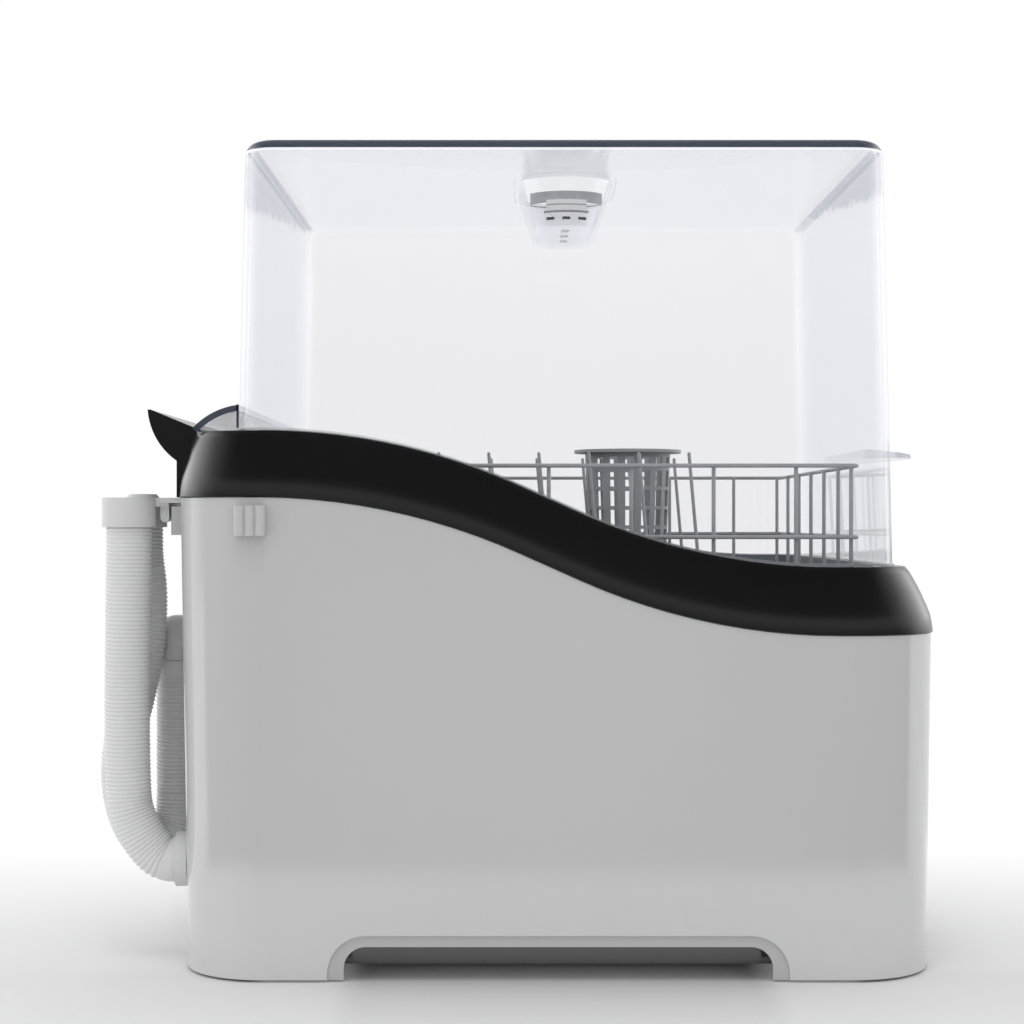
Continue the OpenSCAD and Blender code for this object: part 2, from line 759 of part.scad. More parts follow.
module sump() {
    color(pump_grey) seated() translate([sump_x, sump_y, 0]) difference() {
        union() {
            translate([0, 0, tub_bottom - sump_depth]) cylinder(r = sump_r - 4, h = sump_depth, $fn = round_fn);
            translate([0, 0, tub_bottom - 4]) cylinder(r = sump_r, h = 4, $fn = round_fn);
            // spigots for the two pumps' pipes
            translate([0, 0, tub_bottom - sump_depth + 12]) {
                rotate([-90, 0, 0]) cylinder(r = 9, h = sump_r + 8, $fn = small_fn);
                rotate([0, -90, 0]) cylinder(r = 8, h = sump_r + 8, $fn = small_fn);
            }
        }
        translate([0, 0, tub_bottom - sump_depth + 2]) cylinder(r = sump_r - 6, h = sump_depth, $fn = round_fn);
    }
}

// Filter that stands in the sump, with slots round its wall
module sump_filter() {
    color(steel) seated() translate([sump_x, sump_y, 0]) difference() {
        union() {
            translate([0, 0, tub_floor + 0.1]) cylinder(r = sump_r, h = 2, $fn = round_fn);
            translate([0, 0, tub_bottom - sump_depth + 2.3])
                cylinder(r = sump_r - 10, h = sump_depth + tub_wall - 2, $fn = round_fn);
        }
        translate([0, 0, tub_bottom - sump_depth + 4]) cylinder(r = sump_r - 12, h = sump_depth + 10, $fn = round_fn);
        for (i = [0:7])
            rotate(i * 22.5) translate([-sump_r, -2, tub_bottom - sump_depth + 7])
                cube([2 * sump_r, 4, sump_depth - 12]);
    }
}

arm_z = tub_floor + arm_rise;

module spray_post() {
    color(pump_grey) seated() translate([post_x, 0, 0]) {
        translate([0, 0, tub_bottom - 16]) cylinder(r = post_r + 2.7, h = arm_rise + 17.7, $fn = round_fn);
        translate([0, 0, tub_bottom - 4]) cylinder(r = post_r + 8, h = 4, $fn = round_fn);
        translate([0, 0, tub_bottom]) cylinder(r = post_r, h = arm_rise + tub_wall + 17, $fn = round_fn);
    }
}

module arm_outline() {
    half = arm_l / 2 - arm_w / 2;
    circle(26, $fn = round_fn);
    square([2 * half, arm_w * 0.8], center = true);
    for (side = [-1, 1])
        translate([side * half, 0]) circle(arm_w * 0.4, $fn = round_fn);
}

module spray_arm() {
    color(wire_grey) seated() translate([post_x, 0, arm_z]) difference() {
        union() {
            linear_extrude(9) arm_outline();
            cylinder(r = post_r + 5, h = 15, $fn = round_fn);
        }
        translate([0, 0, -1]) cylinder(r = post_r + post_gap, h = 30, $fn = round_fn);
        // jets along each arm, and one near each tip that turns it
        for (side = [-1, 1])
            for (i = [0:4])
                translate([side * (36 + i * 22), side * 4, 6]) cylinder(r = 1.6, h = 10, $fn = small_fn);
        for (side = [-1, 1])
            translate([side * (arm_l / 2 - 18), side * arm_w * 0.4, 5]) rotate([side * -90, 0, 0])
                cylinder(r = 1.6, h = 12, center = true, $fn = small_fn);
    }
}

module spray_nut() {
    color(pump_grey) seated() translate([post_x, 0, arm_z + 15.3]) difference() {
        union() {
            cylinder(r = post_r + 4, h = 4, $fn = round_fn);
            translate([0, 0, 3]) cylinder(r1 = post_r + 3, r2 = post_r, h = 5, $fn = round_fn);
        }
        translate([0, 0, -1]) cylinder(r = post_r + 0.05, h = 3.5, $fn = round_fn);
    }
}

// ---------------------------------------------------------------- machinery under the tub

wash_x = body_cx - 122.5;
wash_y = 60;
wash_r = 30;
wash_z = 44;
drain_x = 42.5 - body_cx;
drain_pump_y = -100;
drain_pump_r = 20;
drain_pump_l = 44;
drain_pump_z = 34;
heater_x = body_cx - 12.5;
heater_y = 40;
heater_r = 18;
heater_z = 38;
pipe_r = 8;

module wash_pump() {
    color(pump_grey) seated() translate([wash_x, wash_y, wash_z]) {
        rotate([0, 90, 0]) {
            translate([0, 0, -50]) cylinder(r = wash_r, h = 70, $fn = round_fn);
            translate([0, 0, -58]) cylinder(r = 12, h = 8, $fn = round_fn);
            translate([0, 0, 20]) cylinder(r = wash_r + 4, h = 22, $fn = round_fn);
            translate([0, 0, 42]) cylinder(r = 10, h = 8, $fn = small_fn);
        }
        translate([31, 0, 0]) cylinder(r = 9, h = 42, $fn = small_fn);
    }
}

module flow_heater() {
    color(steel) seated() translate([heater_x, heater_y, heater_z]) rotate([90, 0, 0]) {
        cylinder(r = heater_r, h = 76, center = true, $fn = round_fn);
        cylinder(r = 9, h = 96, center = true, $fn = small_fn);
    }
}

module drain_pump() {
    color(pump_grey) seated() translate([drain_x, drain_pump_y, drain_pump_z]) {
        rotate([0, 90, 0]) {
            translate([0, 0, -drain_pump_l / 2]) cylinder(r = drain_pump_r, h = drain_pump_l, $fn = round_fn);
            translate([0, 0, drain_pump_l / 2]) cylinder(r = drain_pump_r + 3, h = 16, $fn = round_fn);
            translate([0, 0, drain_pump_l / 2 + 16]) cylinder(r = 8, h = 10, $fn = small_fn);
        }
        translate([30, 0, 0]) cylinder(r = 7, h = 32, $fn = small_fn);
    }
}

sump_pipe_z = tub_bottom - sump_depth + 12;

// ---------------------------------------------------------------- hose fittings

drain_y = -145;
inlet_up_y = -92;
inlet_ring_y = -110;
drain_ring_x = -body_l / 2 - 36;
inlet_ring_x = -body_l / 2 - 34.5;
inlet_up_x = -body_l / 2 - 17.5;
outlet_z = 59;
elbow_z = 184;
elbow_foot = 170.5;
elbow_r = 13;
spigot_r = 10;
bracket_z = joint_h + bracket_up;
collar_z = bracket_z - collar_h;

// The drain outlet's open end, its flange and its spigot's inner end, and the inlet valve behind the rear wall
outlet_end = body_l / 2 + 8;
outlet_flange = 13.5;
outlet_seat = 2;
outlet_x = outlet_end - 28.5;
valve_x = 20.5 - body_l / 2;
valve_l = 18;
valve_w = 44;
valve_h = 46;
valve_drop = 34;
valve_port = 10;
tub_inlet_x = lid_ahead - lid_cx + 8.3;

// Routes of the rubber pipes between the machinery's spigots
sump_to_heater = [[sump_x, sump_y + sump_r + 8.1, sump_pipe_z], [sump_x, sump_y + sump_r + 18, sump_pipe_z],
    [sump_x + 3, sump_y + sump_r + 26, 88], [sump_x + 12, sump_y + sump_r + 22, 70],
    [heater_x - 26, heater_y - 52, 52], [heater_x - 11, heater_y - 64, 41], [heater_x, heater_y - 59, heater_z],
    [heater_x, heater_y - 48.1, heater_z]];
heater_to_pump = [[heater_x, heater_y + 48.1, heater_z], [heater_x, heater_y + 60, heater_z],
    [heater_x - 10, heater_y + 69, 40], [heater_x - 25, heater_y + 68, 43], [wash_x + 73, wash_y + 35, wash_z],
    [wash_x + 71, wash_y + 13, wash_z], [wash_x + 61, wash_y, wash_z], [wash_x + 50.1, wash_y, wash_z]];
pump_to_post = [[wash_x + 31, wash_y, wash_z + 42.1], [wash_x + 31, wash_y, 92], [wash_x + 26, wash_y - 4.5, 98],
    [wash_x + 16, wash_y - 14, 100], [post_x + 26, 23, 92], [post_x + 10, 9, 86], [post_x + 2, 2, 88],
    [post_x, 0, 94], [post_x, 0, tub_bottom - 16.1]];
sump_to_drain = [[sump_x - sump_r - 8.1, sump_y, sump_pipe_z], [40, sump_y, sump_pipe_z], [20, sump_y - 8, 90],
    [-10, sump_y - 25, 70], [-36, drain_pump_y + 4, 48], [-52, drain_pump_y, 37], [-62, drain_pump_y, drain_pump_z],
    [drain_x + 48.1, drain_pump_y, drain_pump_z]];
drain_to_outlet = [[drain_x + 30, drain_pump_y, drain_pump_z + 32.1], [drain_x + 30, drain_pump_y, 75],
    [drain_x + 20, drain_pump_y - 9, 81], [drain_x - 5, drain_y + 18, 80], [40 - outlet_x, drain_y + 4, 72],
    [22 - outlet_x, drain_y, 62], [11 - outlet_x, drain_y, outlet_z], [0.1 - outlet_x, drain_y, outlet_z]];
valve_to_tub = [[valve_x + 10, inlet_up_y + 14, elbow_z - valve_drop - 0.1], [valve_x + 10, inlet_up_y + 14, 120],
    [valve_x + 11, inlet_up_y + 14, 106], [valve_x + 19, inlet_up_y + 16, 98],
    [tub_inlet_x - 10, inlet_up_y + 19, 97], [tub_inlet_x - 2, inlet_up_y + 20, 102],
    [tub_inlet_x, inlet_up_y + 20, 109], [tub_inlet_x, inlet_up_y + 20, tub_bottom - 0.2]];

module pump_pipes() {
    color(dark_rubber) seated() {
        for (route = [sump_to_heater, heater_to_pump, pump_to_post])
            hose(route, pipe_r);
        for (route = [sump_to_drain, drain_to_outlet])
            hose(route, pipe_r - 0.5);
        hose(valve_to_tub, pipe_r - 2);
    }
}

module inlet_valve() {
    color(shell_grey) seated() translate([valve_x, inlet_up_y, elbow_z]) {
        translate([-2, -14, -valve_drop]) cube([valve_l, valve_w, valve_h]);
        rotate([0, -90, 0]) cylinder(r = spigot_r + 2, h = valve_port, $fn = small_fn);
    }
}

// Flanged outlet low on the rear wall
module drain_outlet() {
    color(shell_grey) seated() difference() {
        translate([0, drain_y, outlet_z]) rotate([0, -90, 0]) translate([0, 0, outlet_end - outlet_flange])
            cylinder(r = drain_d / 2 + 2.5, h = outlet_flange, $fn = round_fn);
        body_block(-0.05, 0);
        // seat of the hose
        translate([0, drain_y, outlet_z]) rotate([0, -90, 0]) translate([0, 0, outlet_end - outlet_seat])
            cylinder(r = drain_d / 2 + collar_gap, h = 20, $fn = round_fn);
    }
    color(shell_grey) seated() translate([0, drain_y, outlet_z]) rotate([0, -90, 0]) translate([0, 0, outlet_x])
        cylinder(r = spigot_r, h = outlet_end - outlet_seat - outlet_x - seam, $fn = round_fn);
}

// Downward elbow on the rear wall
module inlet_elbow() {
    color(shell_grey) seated() {
        difference() {
            union() {
                translate([inlet_up_x, inlet_up_y, elbow_z]) rotate([0, 90, 0])
                    cylinder(r = elbow_r, h = 22, $fn = round_fn);
                translate([inlet_up_x, inlet_up_y, elbow_z]) sphere(elbow_r, $fn = round_fn);
                translate([inlet_up_x, inlet_up_y, elbow_foot])
                    cylinder(r = elbow_r, h = elbow_z - elbow_foot, $fn = round_fn);
            }
            body_block(-0.05, 0);
        }
        translate([inlet_up_x + 11.8, inlet_up_y, elbow_z]) rotate([0, 90, 0])
            cylinder(r = spigot_r, h = valve_x - valve_port - 0.2 - inlet_up_x - 11.8, $fn = round_fn);
    }
}

hook_h = 16.5;
hook_w = 17;
hook_out = 8;
hook_top = joint_h - 4.5;

// One hook block, with a rounded face, whose wall side lies at x = 0
module hook_block(w) {
    difference() {
        union() {
            translate([-12, -w / 2, 0]) cube([12 + hook_out - 2, w, hook_h]);
            for (i = [0:2])
                translate([hook_out - 3, (i - 1) * w / 3, 0]) cylinder(r = w / 6, h = hook_h, $fn = small_fn);
        }
        translate([1, -w / 2 + 2, 3]) cube([3, w - 4, hook_h]);
    }
}

// Blocks on both sides, for hanging the bracket, and the one at the rear that carries it
module hose_hooks() {
    color(shell_grey) seated() difference() {
        union() {
            for (side = [-1, 1])
                translate([-body_cx - 6, side * (body_cy + body_r_at(hook_top) - 0.5), hook_top - hook_h])
                    rotate(side * 90) hook_block(hook_w);
            for (y = [-137, -104])
                translate([-body_cx - body_r_at(hook_top), y, hook_top - hook_h]) rotate(180) hook_block(hook_w);
        }
        body_block(-0.05, 0);
    }
}

bracket_t = 5;
cap_plug_r = 8;
wall_x = -body_cx - body_r_at(joint_h);

// Bracket that holds the hoses' free ends, with its hooks over the rear blocks
module hose_bracket() {
    color(shell_grey) seated() difference() {
        union() {
            translate([drain_ring_x, drain_y, collar_z])
                cylinder(r = collar_r, h = bracket_z - collar_z, $fn = round_fn);
            translate([inlet_ring_x, inlet_ring_y, collar_z])
                cylinder(r = collar_r - 1, h = bracket_z - collar_z, $fn = round_fn);
            translate([drain_ring_x, drain_y, bracket_z - bracket_t])
                cube([wall_x - drain_ring_x - hook_out - 1, 50, bracket_t]);
            // hooks in front of the blocks and their bridge
            for (y = [-137, -104])
                translate([wall_x - hook_out - 3.5, y, bracket_z - 11.5]) along_y(12) {
                    translate([-2.5, 0]) square([5, 11.5]);
                    circle(2.5, $fn = small_fn);
                }
            for (y = [-137, -104])
                translate([wall_x - 3.8, y - 5.5, hook_top - hook_h + 4])
                    cube([2.2, 11, bracket_z - hook_top + hook_h - 4]);
            translate([wall_x - hook_out - 6, -146, bracket_z - 3]) cube([hook_out + 4.4, 48, 3]);
        }
        translate([drain_ring_x, drain_y, collar_z - 1])
            cylinder(r = drain_d / 2 + collar_gap, h = bracket_z - collar_z - 2, $fn = round_fn);
        translate([inlet_ring_x, inlet_ring_y, collar_z - 1])
            cylinder(r = inlet_d / 2 + collar_gap, h = bracket_z - collar_z - 2, $fn = round_fn);
        translate([inlet_ring_x, inlet_ring_y, collar_z]) cylinder(r = cap_plug_r + 0.1, h = 30, $fn = round_fn);
    }
}

// Cap on the inlet hose's collar
module collar_cap() {
    color(shell_grey) seated() translate([inlet_ring_x, inlet_ring_y, 0]) {
        translate([0, 0, bracket_z + 0.1]) cylinder(r1 = cap_plug_r + 2, r2 = cap_plug_r, h = 2.4, $fn = round_fn);
        translate([0, 0, bracket_z - 4]) cylinder(r = cap_plug_r, h = 5, $fn = round_fn);
    }
}

// ---------------------------------------------------------------- controls

lean_deg = atan(body_lean);

// Places a piece on the front wall at height z, with x pointing straight out of the wall
module on_front(z) {
    translate([body_cx + body_r_at(z), 0, z]) rotate([0, lean_deg, 0]) children();
}

module panel_block(x0, x1, w, h, r) {
    translate([x0, 0, 0]) rotate([0, 90, 0]) linear_extrude(x1 - x0) {
        for (sy = [-1, 1], sz = [-1, 1])
            translate([sz * (h / 2 - r), sy * (w / 2 - r)]) circle(r, $fn = small_fn);
        square([h, w - 2 * r], center = true);
        square([h - 2 * r, w], center = true);
    }
}

button_y = [-55, -25, 55];
lamp_y = [-3, 9, 21, 33];
board_x = -13;
board_w = panel_w - 18;
board_h = panel_h - 8;
board_t = 1.6;

module control_panel() {
    color(gloss_black) seated() on_front(panel_z) difference() {
        union() {
            panel_block(0.1, 1.8, panel_w, panel_h, 6);
            panel_block(-body_wall - 1, 0.2, panel_w - 8 - 2 * seam, panel_h - 8 - 2 * seam, 3);
            for (y = [-70, 0, 70])
                translate([board_x, y, -9]) rotate([0, 90, 0]) cylinder(r = 2, h = -board_x - 1, $fn = small_fn);
        }
        for (y = button_y)
            translate([-far / 2, y, 0]) rotate([0, 90, 0])
                cylinder(r = button_r + button_gap, h = far, $fn = small_fn);
        for (y = lamp_y)
            translate([-far / 2, y, 0]) rotate([0, 90, 0]) cylinder(r = 1.55, h = far, $fn = small_fn);
    }
}

module control_board() {
    color(board_green) seated() on_front(panel_z) {
        translate([board_x - board_t - 0.1, -board_w / 2, -board_h / 2]) cube([board_t, board_w, board_h]);
        // switches behind the buttons
        for (y = button_y)
            translate([board_x - 0.1, y - 3, -3]) cube([5, 6, 6]);
        for (y = lamp_y)
            translate([board_x - 0.1, y - 1, -1]) cube([1.2, 2, 2]);
    }
}

module light_pipes() {
    color([0.9, 0.95, 1]) seated() on_front(panel_z) for (y = lamp_y)
        translate([board_x + 1.4, y, 0]) rotate([0, 90, 0]) cylinder(r = 1.5, h = 2 - board_x - 1.4, $fn = small_fn);
}

// A push button whose shaft ends just ahead of its switch
module push_button(y) {
    shaft = board_x + 5 + button_travel + 0.2;
    on_front(panel_z) translate([0, y, 0]) rotate([0, 90, 0]) {
        translate([0, 0, -body_wall - 0.5]) cylinder(r = button_r, h = body_wall + 3.3, $fn = round_fn);
        translate([0, 0, shaft]) cylinder(r = 2, h = -body_wall - shaft, $fn = small_fn);
    }
}

module power_button() {
    color(shell_grey) seated() push_button(button_y[0]);
}

module program_button() {
    color(shell_grey) seated() push_button(button_y[1]);
}

module start_button() {
    color(shell_grey) seated() push_button(button_y[2]);
}

// ---------------------------------------------------------------- basket and cup

// A straight eight-sided wire from p to q
module wire(p, q, d) {
    step = q - p;
    length = norm(step);
    translate(p) rotate([0, acos(step[2] / length), atan2(step[1], step[0])]) cylinder(d = d, h = length, $fn = 8);
}

basket_x = lid_ahead + basket_ahead;
half_x = lid_cx + tub_r - tub_wall - basket_end_gap - wire_d / 2;
half_y = lid_cy + tub_r - tub_wall - basket_side_gap - wire_d / 2;
basket_foot = ledge_z + seam + wire_d / 2;
// Wires that are welded to a rail lie beside it, one wire's thickness and a hair away
weld_gap = 0.05;
weld_step = wire_d + weld_gap;
floor_z = basket_foot + weld_step;
// How far the long walls' first upright, the floor's first wire and each row's first tine lie in from the front
upright_in = 34.8;
floor_in = 20.8;
tine_in = 75.6;
tine_rows = [-40, 80];
end_uprights = [-110, -55, 0, 55, 110];

// Places along x, from the front towards the rear, that end a given distance short of the rear rail
function places(start, pitch, rest) = [for (i = [0:floor((2 * half_x - start - rest) / pitch)])
    half_x - start - i * pitch];

// Rail round the basket's four walls
module rail(z) {
    long_end = half_x + wire_d / 2;
    short_end = half_y - wire_d / 2 - weld_gap;
    for (side = [-1, 1]) {
        wire([-long_end, side * half_y, z], [long_end, side * half_y, z], wire_d);
        wire([side * half_x, -short_end, z], [side * half_x, short_end, z], wire_d);
    }
}

module upright(x, y) {
    wire([x, y, basket_foot - 0.6], [x, y, rail_z + 0.6], wire_d);
}

module basket() {
    row_end = half_x - wire_d / 2 - weld_gap;
    tine_foot = basket_foot + wire_d / 2 + 0.2;
    color(wire_grey) seated() translate([basket_x, 0, 0]) {
        for (z = [basket_foot, mid_z, rail_z]) rail(z);
        // upright wires of the walls
        for (side = [-1, 1]) {
            for (x = places(upright_in, grid_pitch, 13)) upright(x, side * (half_y - weld_step));
            for (y = end_uprights) upright(side * (half_x - weld_step), y);
            for (x = [weld_step - half_x, half_x - weld_step]) upright(x, side * (half_y - weld_step));
        }
        // floor
        for (x = places(floor_in, grid_pitch, 13))
            wire([x, -half_y, floor_z], [x, half_y, floor_z], wire_d);
        // rows of leaning plate tines
        for (y = tine_rows) {
            wire([-row_end, y, basket_foot], [row_end, y, basket_foot], wire_d);
            for (x = places(tine_in, tine_pitch, 23))
                wire([x, y, tine_foot], [x - (tine_z - tine_foot) * tan(tine_a), y, tine_z], tine_d);
        }
    }
}

cup_foot_z = floor_z + wire_d / 2 + seam;

module cup_shell(inset, z0, z1) {
    slope = (cup_r - cup_foot_r) / (cup_z - cup_foot_z);
    translate([0, 0, z0]) cylinder(r1 = cup_foot_r - inset + slope * (z0 - cup_foot_z),
        r2 = cup_foot_r - inset + slope * (z1 - cup_foot_z), h = z1 - z0, $fn = round_fn);
}

hoop_h = 2.2;
hoop_step = 12.6;

module cutlery_cup() {
    color(wire_grey) seated() translate([cup_ahead, 16, 0]) {
        difference() {
            union() {
                difference() {
                    cup_shell(0, cup_foot_z, cup_z);
                    for (i = [0:cup_slots / 2 - 1])
                        rotate(i * 360 / cup_slots) translate([-far / 2, -2.9, cup_foot_z + 7])
                            cube([far, 5.8, cup_z - cup_foot_z - 12]);
                }
                intersection() {
                    cup_shell(0, cup_foot_z, cup_z);
                    for (i = [1:7])
                        translate([0, 0, cup_z - i * hoop_step - hoop_h / 2]) cylinder(r = far, h = hoop_h);
                }
                translate([0, 0, cup_z - 2]) cylinder(r = cup_flange_r, h = 2, $fn = round_fn);
            }
            cup_shell(cup_wall, cup_foot_z + cup_wall, cup_z + 1);
        }
    }
}

// ---------------------------------------------------------------- hoses

// Routes of the hoses, from their collars in the bracket to their fittings
drain_route = [[-246.5, -145, 263], [-246.5, -145, 235], [-247, -145, 200], [-247.5, -145, 165], [-247.5, -145, 130],
    [-247, -145, 104], [-245.5, -145, 88], [-239, -145, 73], [-231, -145, 63], [-223.5, -145, 59],
    [-216.8, -145, 59]];
inlet_route = [[-245, -110, 261], [-245, -110, 235], [-242.5, -111, 210], [-243.5, -113, 178], [-248.5, -115, 152],
    [-254, -116, 128], [-256.5, -116, 106], [-254.5, -114, 86], [-249, -110, 70], [-241.5, -104, 62],
    [-234, -98, 63], [-229, -94, 72], [-228, -92, 88], [-228, -92, 110], [-228, -92, 140], [-228, -92, 170.2]];

hose_sides = 10;

function along(route, i) = route[min(i + 1, len(route) - 1)] - route[max(i - 1, 0)];

// Rings stand square to the route, each turned from a fixed reference across the machine
function ring_at(route, i, r) =
    let (t = along(route, i) / norm(along(route, i)), u0 = cross(t, [0.35, 0.9, 0.25]), u = u0 / norm(u0),
        v = cross(t, u))
    [for (k = [0:hose_sides - 1]) route[i] + r * (cos(k * 360 / hose_sides) * u + sin(k * 360 / hose_sides) * v)];

module hose(route, r) {
    n = len(route);
    m = hose_sides;
    polyhedron(
        points = [for (i = [0:n - 1]) for (p = ring_at(route, i, r)) p],
        faces = concat(
            [[for (k = [0:m - 1]) m - 1 - k]],
            [[for (k = [0:m - 1]) (n - 1) * m + k]],
            [for (i = [0:n - 2]) for (k = [0:m - 1])
                let (a = i * m + k, b = i * m + (k + 1) % m, c = a + m, d = b + m)
                for (face = [[a, b, d], [a, d, c]]) face]));
}

module drain_hose() {
    color(hose_grey) seated() hose(drain_route, drain_d / 2);
}

module inlet_hose() {
    color(hose_grey) seated() hose(inlet_route, inlet_d / 2);
}

body_shell();
rim();
hinge_housing();
hinge_pins();
lid_seal();
base_tray();
feet();
base_screws();
hose_hooks();
tub();
sump();
sump_filter();
spray_post();
spray_arm();
spray_nut();
wash_pump();
flow_heater();
drain_pump();
pump_pipes();
inlet_valve();
drain_outlet();
inlet_elbow();
hose_bracket();
collar_cap();
control_panel();
control_board();
light_pipes();
power_button();
program_button();
start_button();
lid();
hinge_bar();
lid_grip();
lid_tab();
basket();
cutlery_cup();
drain_hose();
inlet_hose();
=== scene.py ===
import json
import math
import bmesh
import bpy
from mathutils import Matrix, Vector


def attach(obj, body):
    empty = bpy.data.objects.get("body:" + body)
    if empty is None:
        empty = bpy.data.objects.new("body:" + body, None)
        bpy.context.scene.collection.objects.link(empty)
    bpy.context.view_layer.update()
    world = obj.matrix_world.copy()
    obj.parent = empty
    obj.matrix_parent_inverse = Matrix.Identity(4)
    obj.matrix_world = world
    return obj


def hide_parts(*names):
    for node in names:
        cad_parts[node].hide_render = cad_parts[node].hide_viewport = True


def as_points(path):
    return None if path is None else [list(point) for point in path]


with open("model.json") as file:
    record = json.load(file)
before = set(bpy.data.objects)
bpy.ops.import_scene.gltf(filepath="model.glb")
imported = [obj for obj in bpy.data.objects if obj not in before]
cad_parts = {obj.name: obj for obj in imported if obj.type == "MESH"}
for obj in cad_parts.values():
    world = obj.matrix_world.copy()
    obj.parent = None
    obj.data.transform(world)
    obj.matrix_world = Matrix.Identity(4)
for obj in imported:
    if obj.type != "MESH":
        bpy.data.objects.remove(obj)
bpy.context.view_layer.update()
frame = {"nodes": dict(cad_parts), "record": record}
NODES = frame["nodes"]
MM = 0.001
SHIFT = 15.0


# ---------------------------------------------------------------- camera

def make_camera():
    data = bpy.data.cameras.new("side_camera")
    data.lens = 70.49
    data.sensor_width = 36.0
    data.shift_x = -4 / 1024
    data.shift_y = 9 / 1024
    data.clip_end = 50.0
    camera = bpy.data.objects.new("side_camera", data)
    camera.location = (-0.0083, -1.3015, 0.2536)
    camera.rotation_euler = (math.pi / 2, 0, 0)
    bpy.context.scene.collection.objects.link(camera)
    bpy.context.scene.camera = camera


make_camera()


# ---------------------------------------------------------------- node maths

class Value:
    """One output socket, with Python's arithmetic on it."""

    def __init__(self, tree, socket):
        self.tree = tree
        self.socket = socket

    def maths(self, operation, *values, clamp=False):
        node = add(self.tree, "ShaderNodeMath", {"operation": operation, "use_clamp": clamp},
                   dict(enumerate(values)))
        return Value(self.tree, node.outputs[0])

    def __add__(self, other):
        return self.maths("ADD", self, other)

    def __radd__(self, other):
        return self.maths("ADD", other, self)

    def __sub__(self, other):
        return self.maths("SUBTRACT", self, other)

    def __rsub__(self, other):
        return self.maths("SUBTRACT", other, self)

    def __mul__(self, other):
        return self.maths("MULTIPLY", self, other)

    def __rmul__(self, other):
        return self.maths("MULTIPLY", other, self)

    def __truediv__(self, other):
        return self.maths("DIVIDE", self, other)

    def __rtruediv__(self, other):
        return self.maths("DIVIDE", other, self)

    def __pow__(self, other):
        return self.maths("POWER", self, other)

    def __abs__(self):
        return self.maths("ABSOLUTE", self)

    def least(self, other):
        return self.maths("MINIMUM", self, other)

    def most(self, other):
        return self.maths("MAXIMUM", self, other)

    def ramp(self, low, high, smooth=True):
        """0 below low, 1 above high, rising between them."""
        kind = "SMOOTHSTEP" if smooth else "LINEAR"
        node = add(self.tree, "ShaderNodeMapRange", {"interpolation_type": kind, "clamp": True},
                   {"Value": self, "From Min": low, "From Max": high, "To Min": 0.0, "To Max": 1.0})
        return Value(self.tree, node.outputs["Result"])


def add(tree, kind, settings=None, sockets=None):
    """Adds a node: its settings first, then the values or links of its sockets."""
    node = tree.nodes.new(kind)
    for name, setting in (settings or {}).items():
        if name == "stops":
            ramp = node.color_ramp
            while len(ramp.elements) < len(setting):
                ramp.elements.new(0.5)
            for element, (place, shade) in zip(ramp.elements, setting):
                element.position = place
                element.color = (*shade, 1.0)
        else:
            setattr(node, name, setting)
    for name, value in (sockets or {}).items():
        socket = node.inputs[name]
        if isinstance(value, Value):
            tree.links.new(value.socket, socket)
        elif isinstance(value, (int, float)) and hasattr(socket.default_value, "__len__"):
            socket.default_value = [value] * len(socket.default_value)
        elif hasattr(value, "__len__") and len(value) == 3 and len(socket.default_value) == 4:
            socket.default_value = (*value, 1.0)
        else:
            socket.default_value = value
    return node


class Finish:
    """One material, with its place on the part and a Principled shader at its end."""

    def __init__(self, name, **constants):
        self.material = bpy.data.materials.new(name)
        self.material.use_nodes = True
        self.tree = self.material.node_tree
        self.tree.nodes.clear()
        self.output = self.add("ShaderNodeOutputMaterial")
        self.shader = self.add("ShaderNodeBsdfPrincipled", None, {k.replace("_", " "): v for k, v in constants.items()})
        self.tree.links.new(self.shader.outputs[0], self.output.inputs[0])
        self.place = self.out(self.add("ShaderNodeTexCoord"), "Object")

    def add(self, kind, settings=None, sockets=None):
        return add(self.tree, kind, settings, sockets)

    def out(self, node, name=0):
        return Value(self.tree, node.outputs[name])

    def axes(self, vector=None):
        node = self.add("ShaderNodeSeparateXYZ", None, {0: vector or self.place})
        return self.out(node, 0), self.out(node, 1), self.out(node, 2)

    def stretched(self, x, y, z):
        node = self.add("ShaderNodeVectorMath", {"operation": "MULTIPLY"}, {0: self.place, 1: (x, y, z)})
        return self.out(node)

    def noise(self, scale, detail=3.0, roughness=0.5, vector=None):
        node = self.add("ShaderNodeTexNoise", None, {"Vector": vector or self.place, "Scale": scale,
                        "Detail": detail, "Roughness": roughness})
        return self.out(node, 0)

    def mix(self, factor, one, other):
        node = self.add("ShaderNodeMix", {"data_type": "RGBA"}, {0: factor, 6: one, 7: other})
        return self.out(node, 2)

    def feed(self, name, value):
        self.tree.links.new(value.socket, self.shader.inputs[name])

    def bump(self, height, distance, strength=1.0):
        node = self.add("ShaderNodeBump", None, {"Strength": strength, "Distance": distance, "Height": height})
        self.feed("Normal", self.out(node))


def tone(colour, factor):
    return tuple(min(1.0, c * factor) for c in colour)


# ---------------------------------------------------------------- finishes

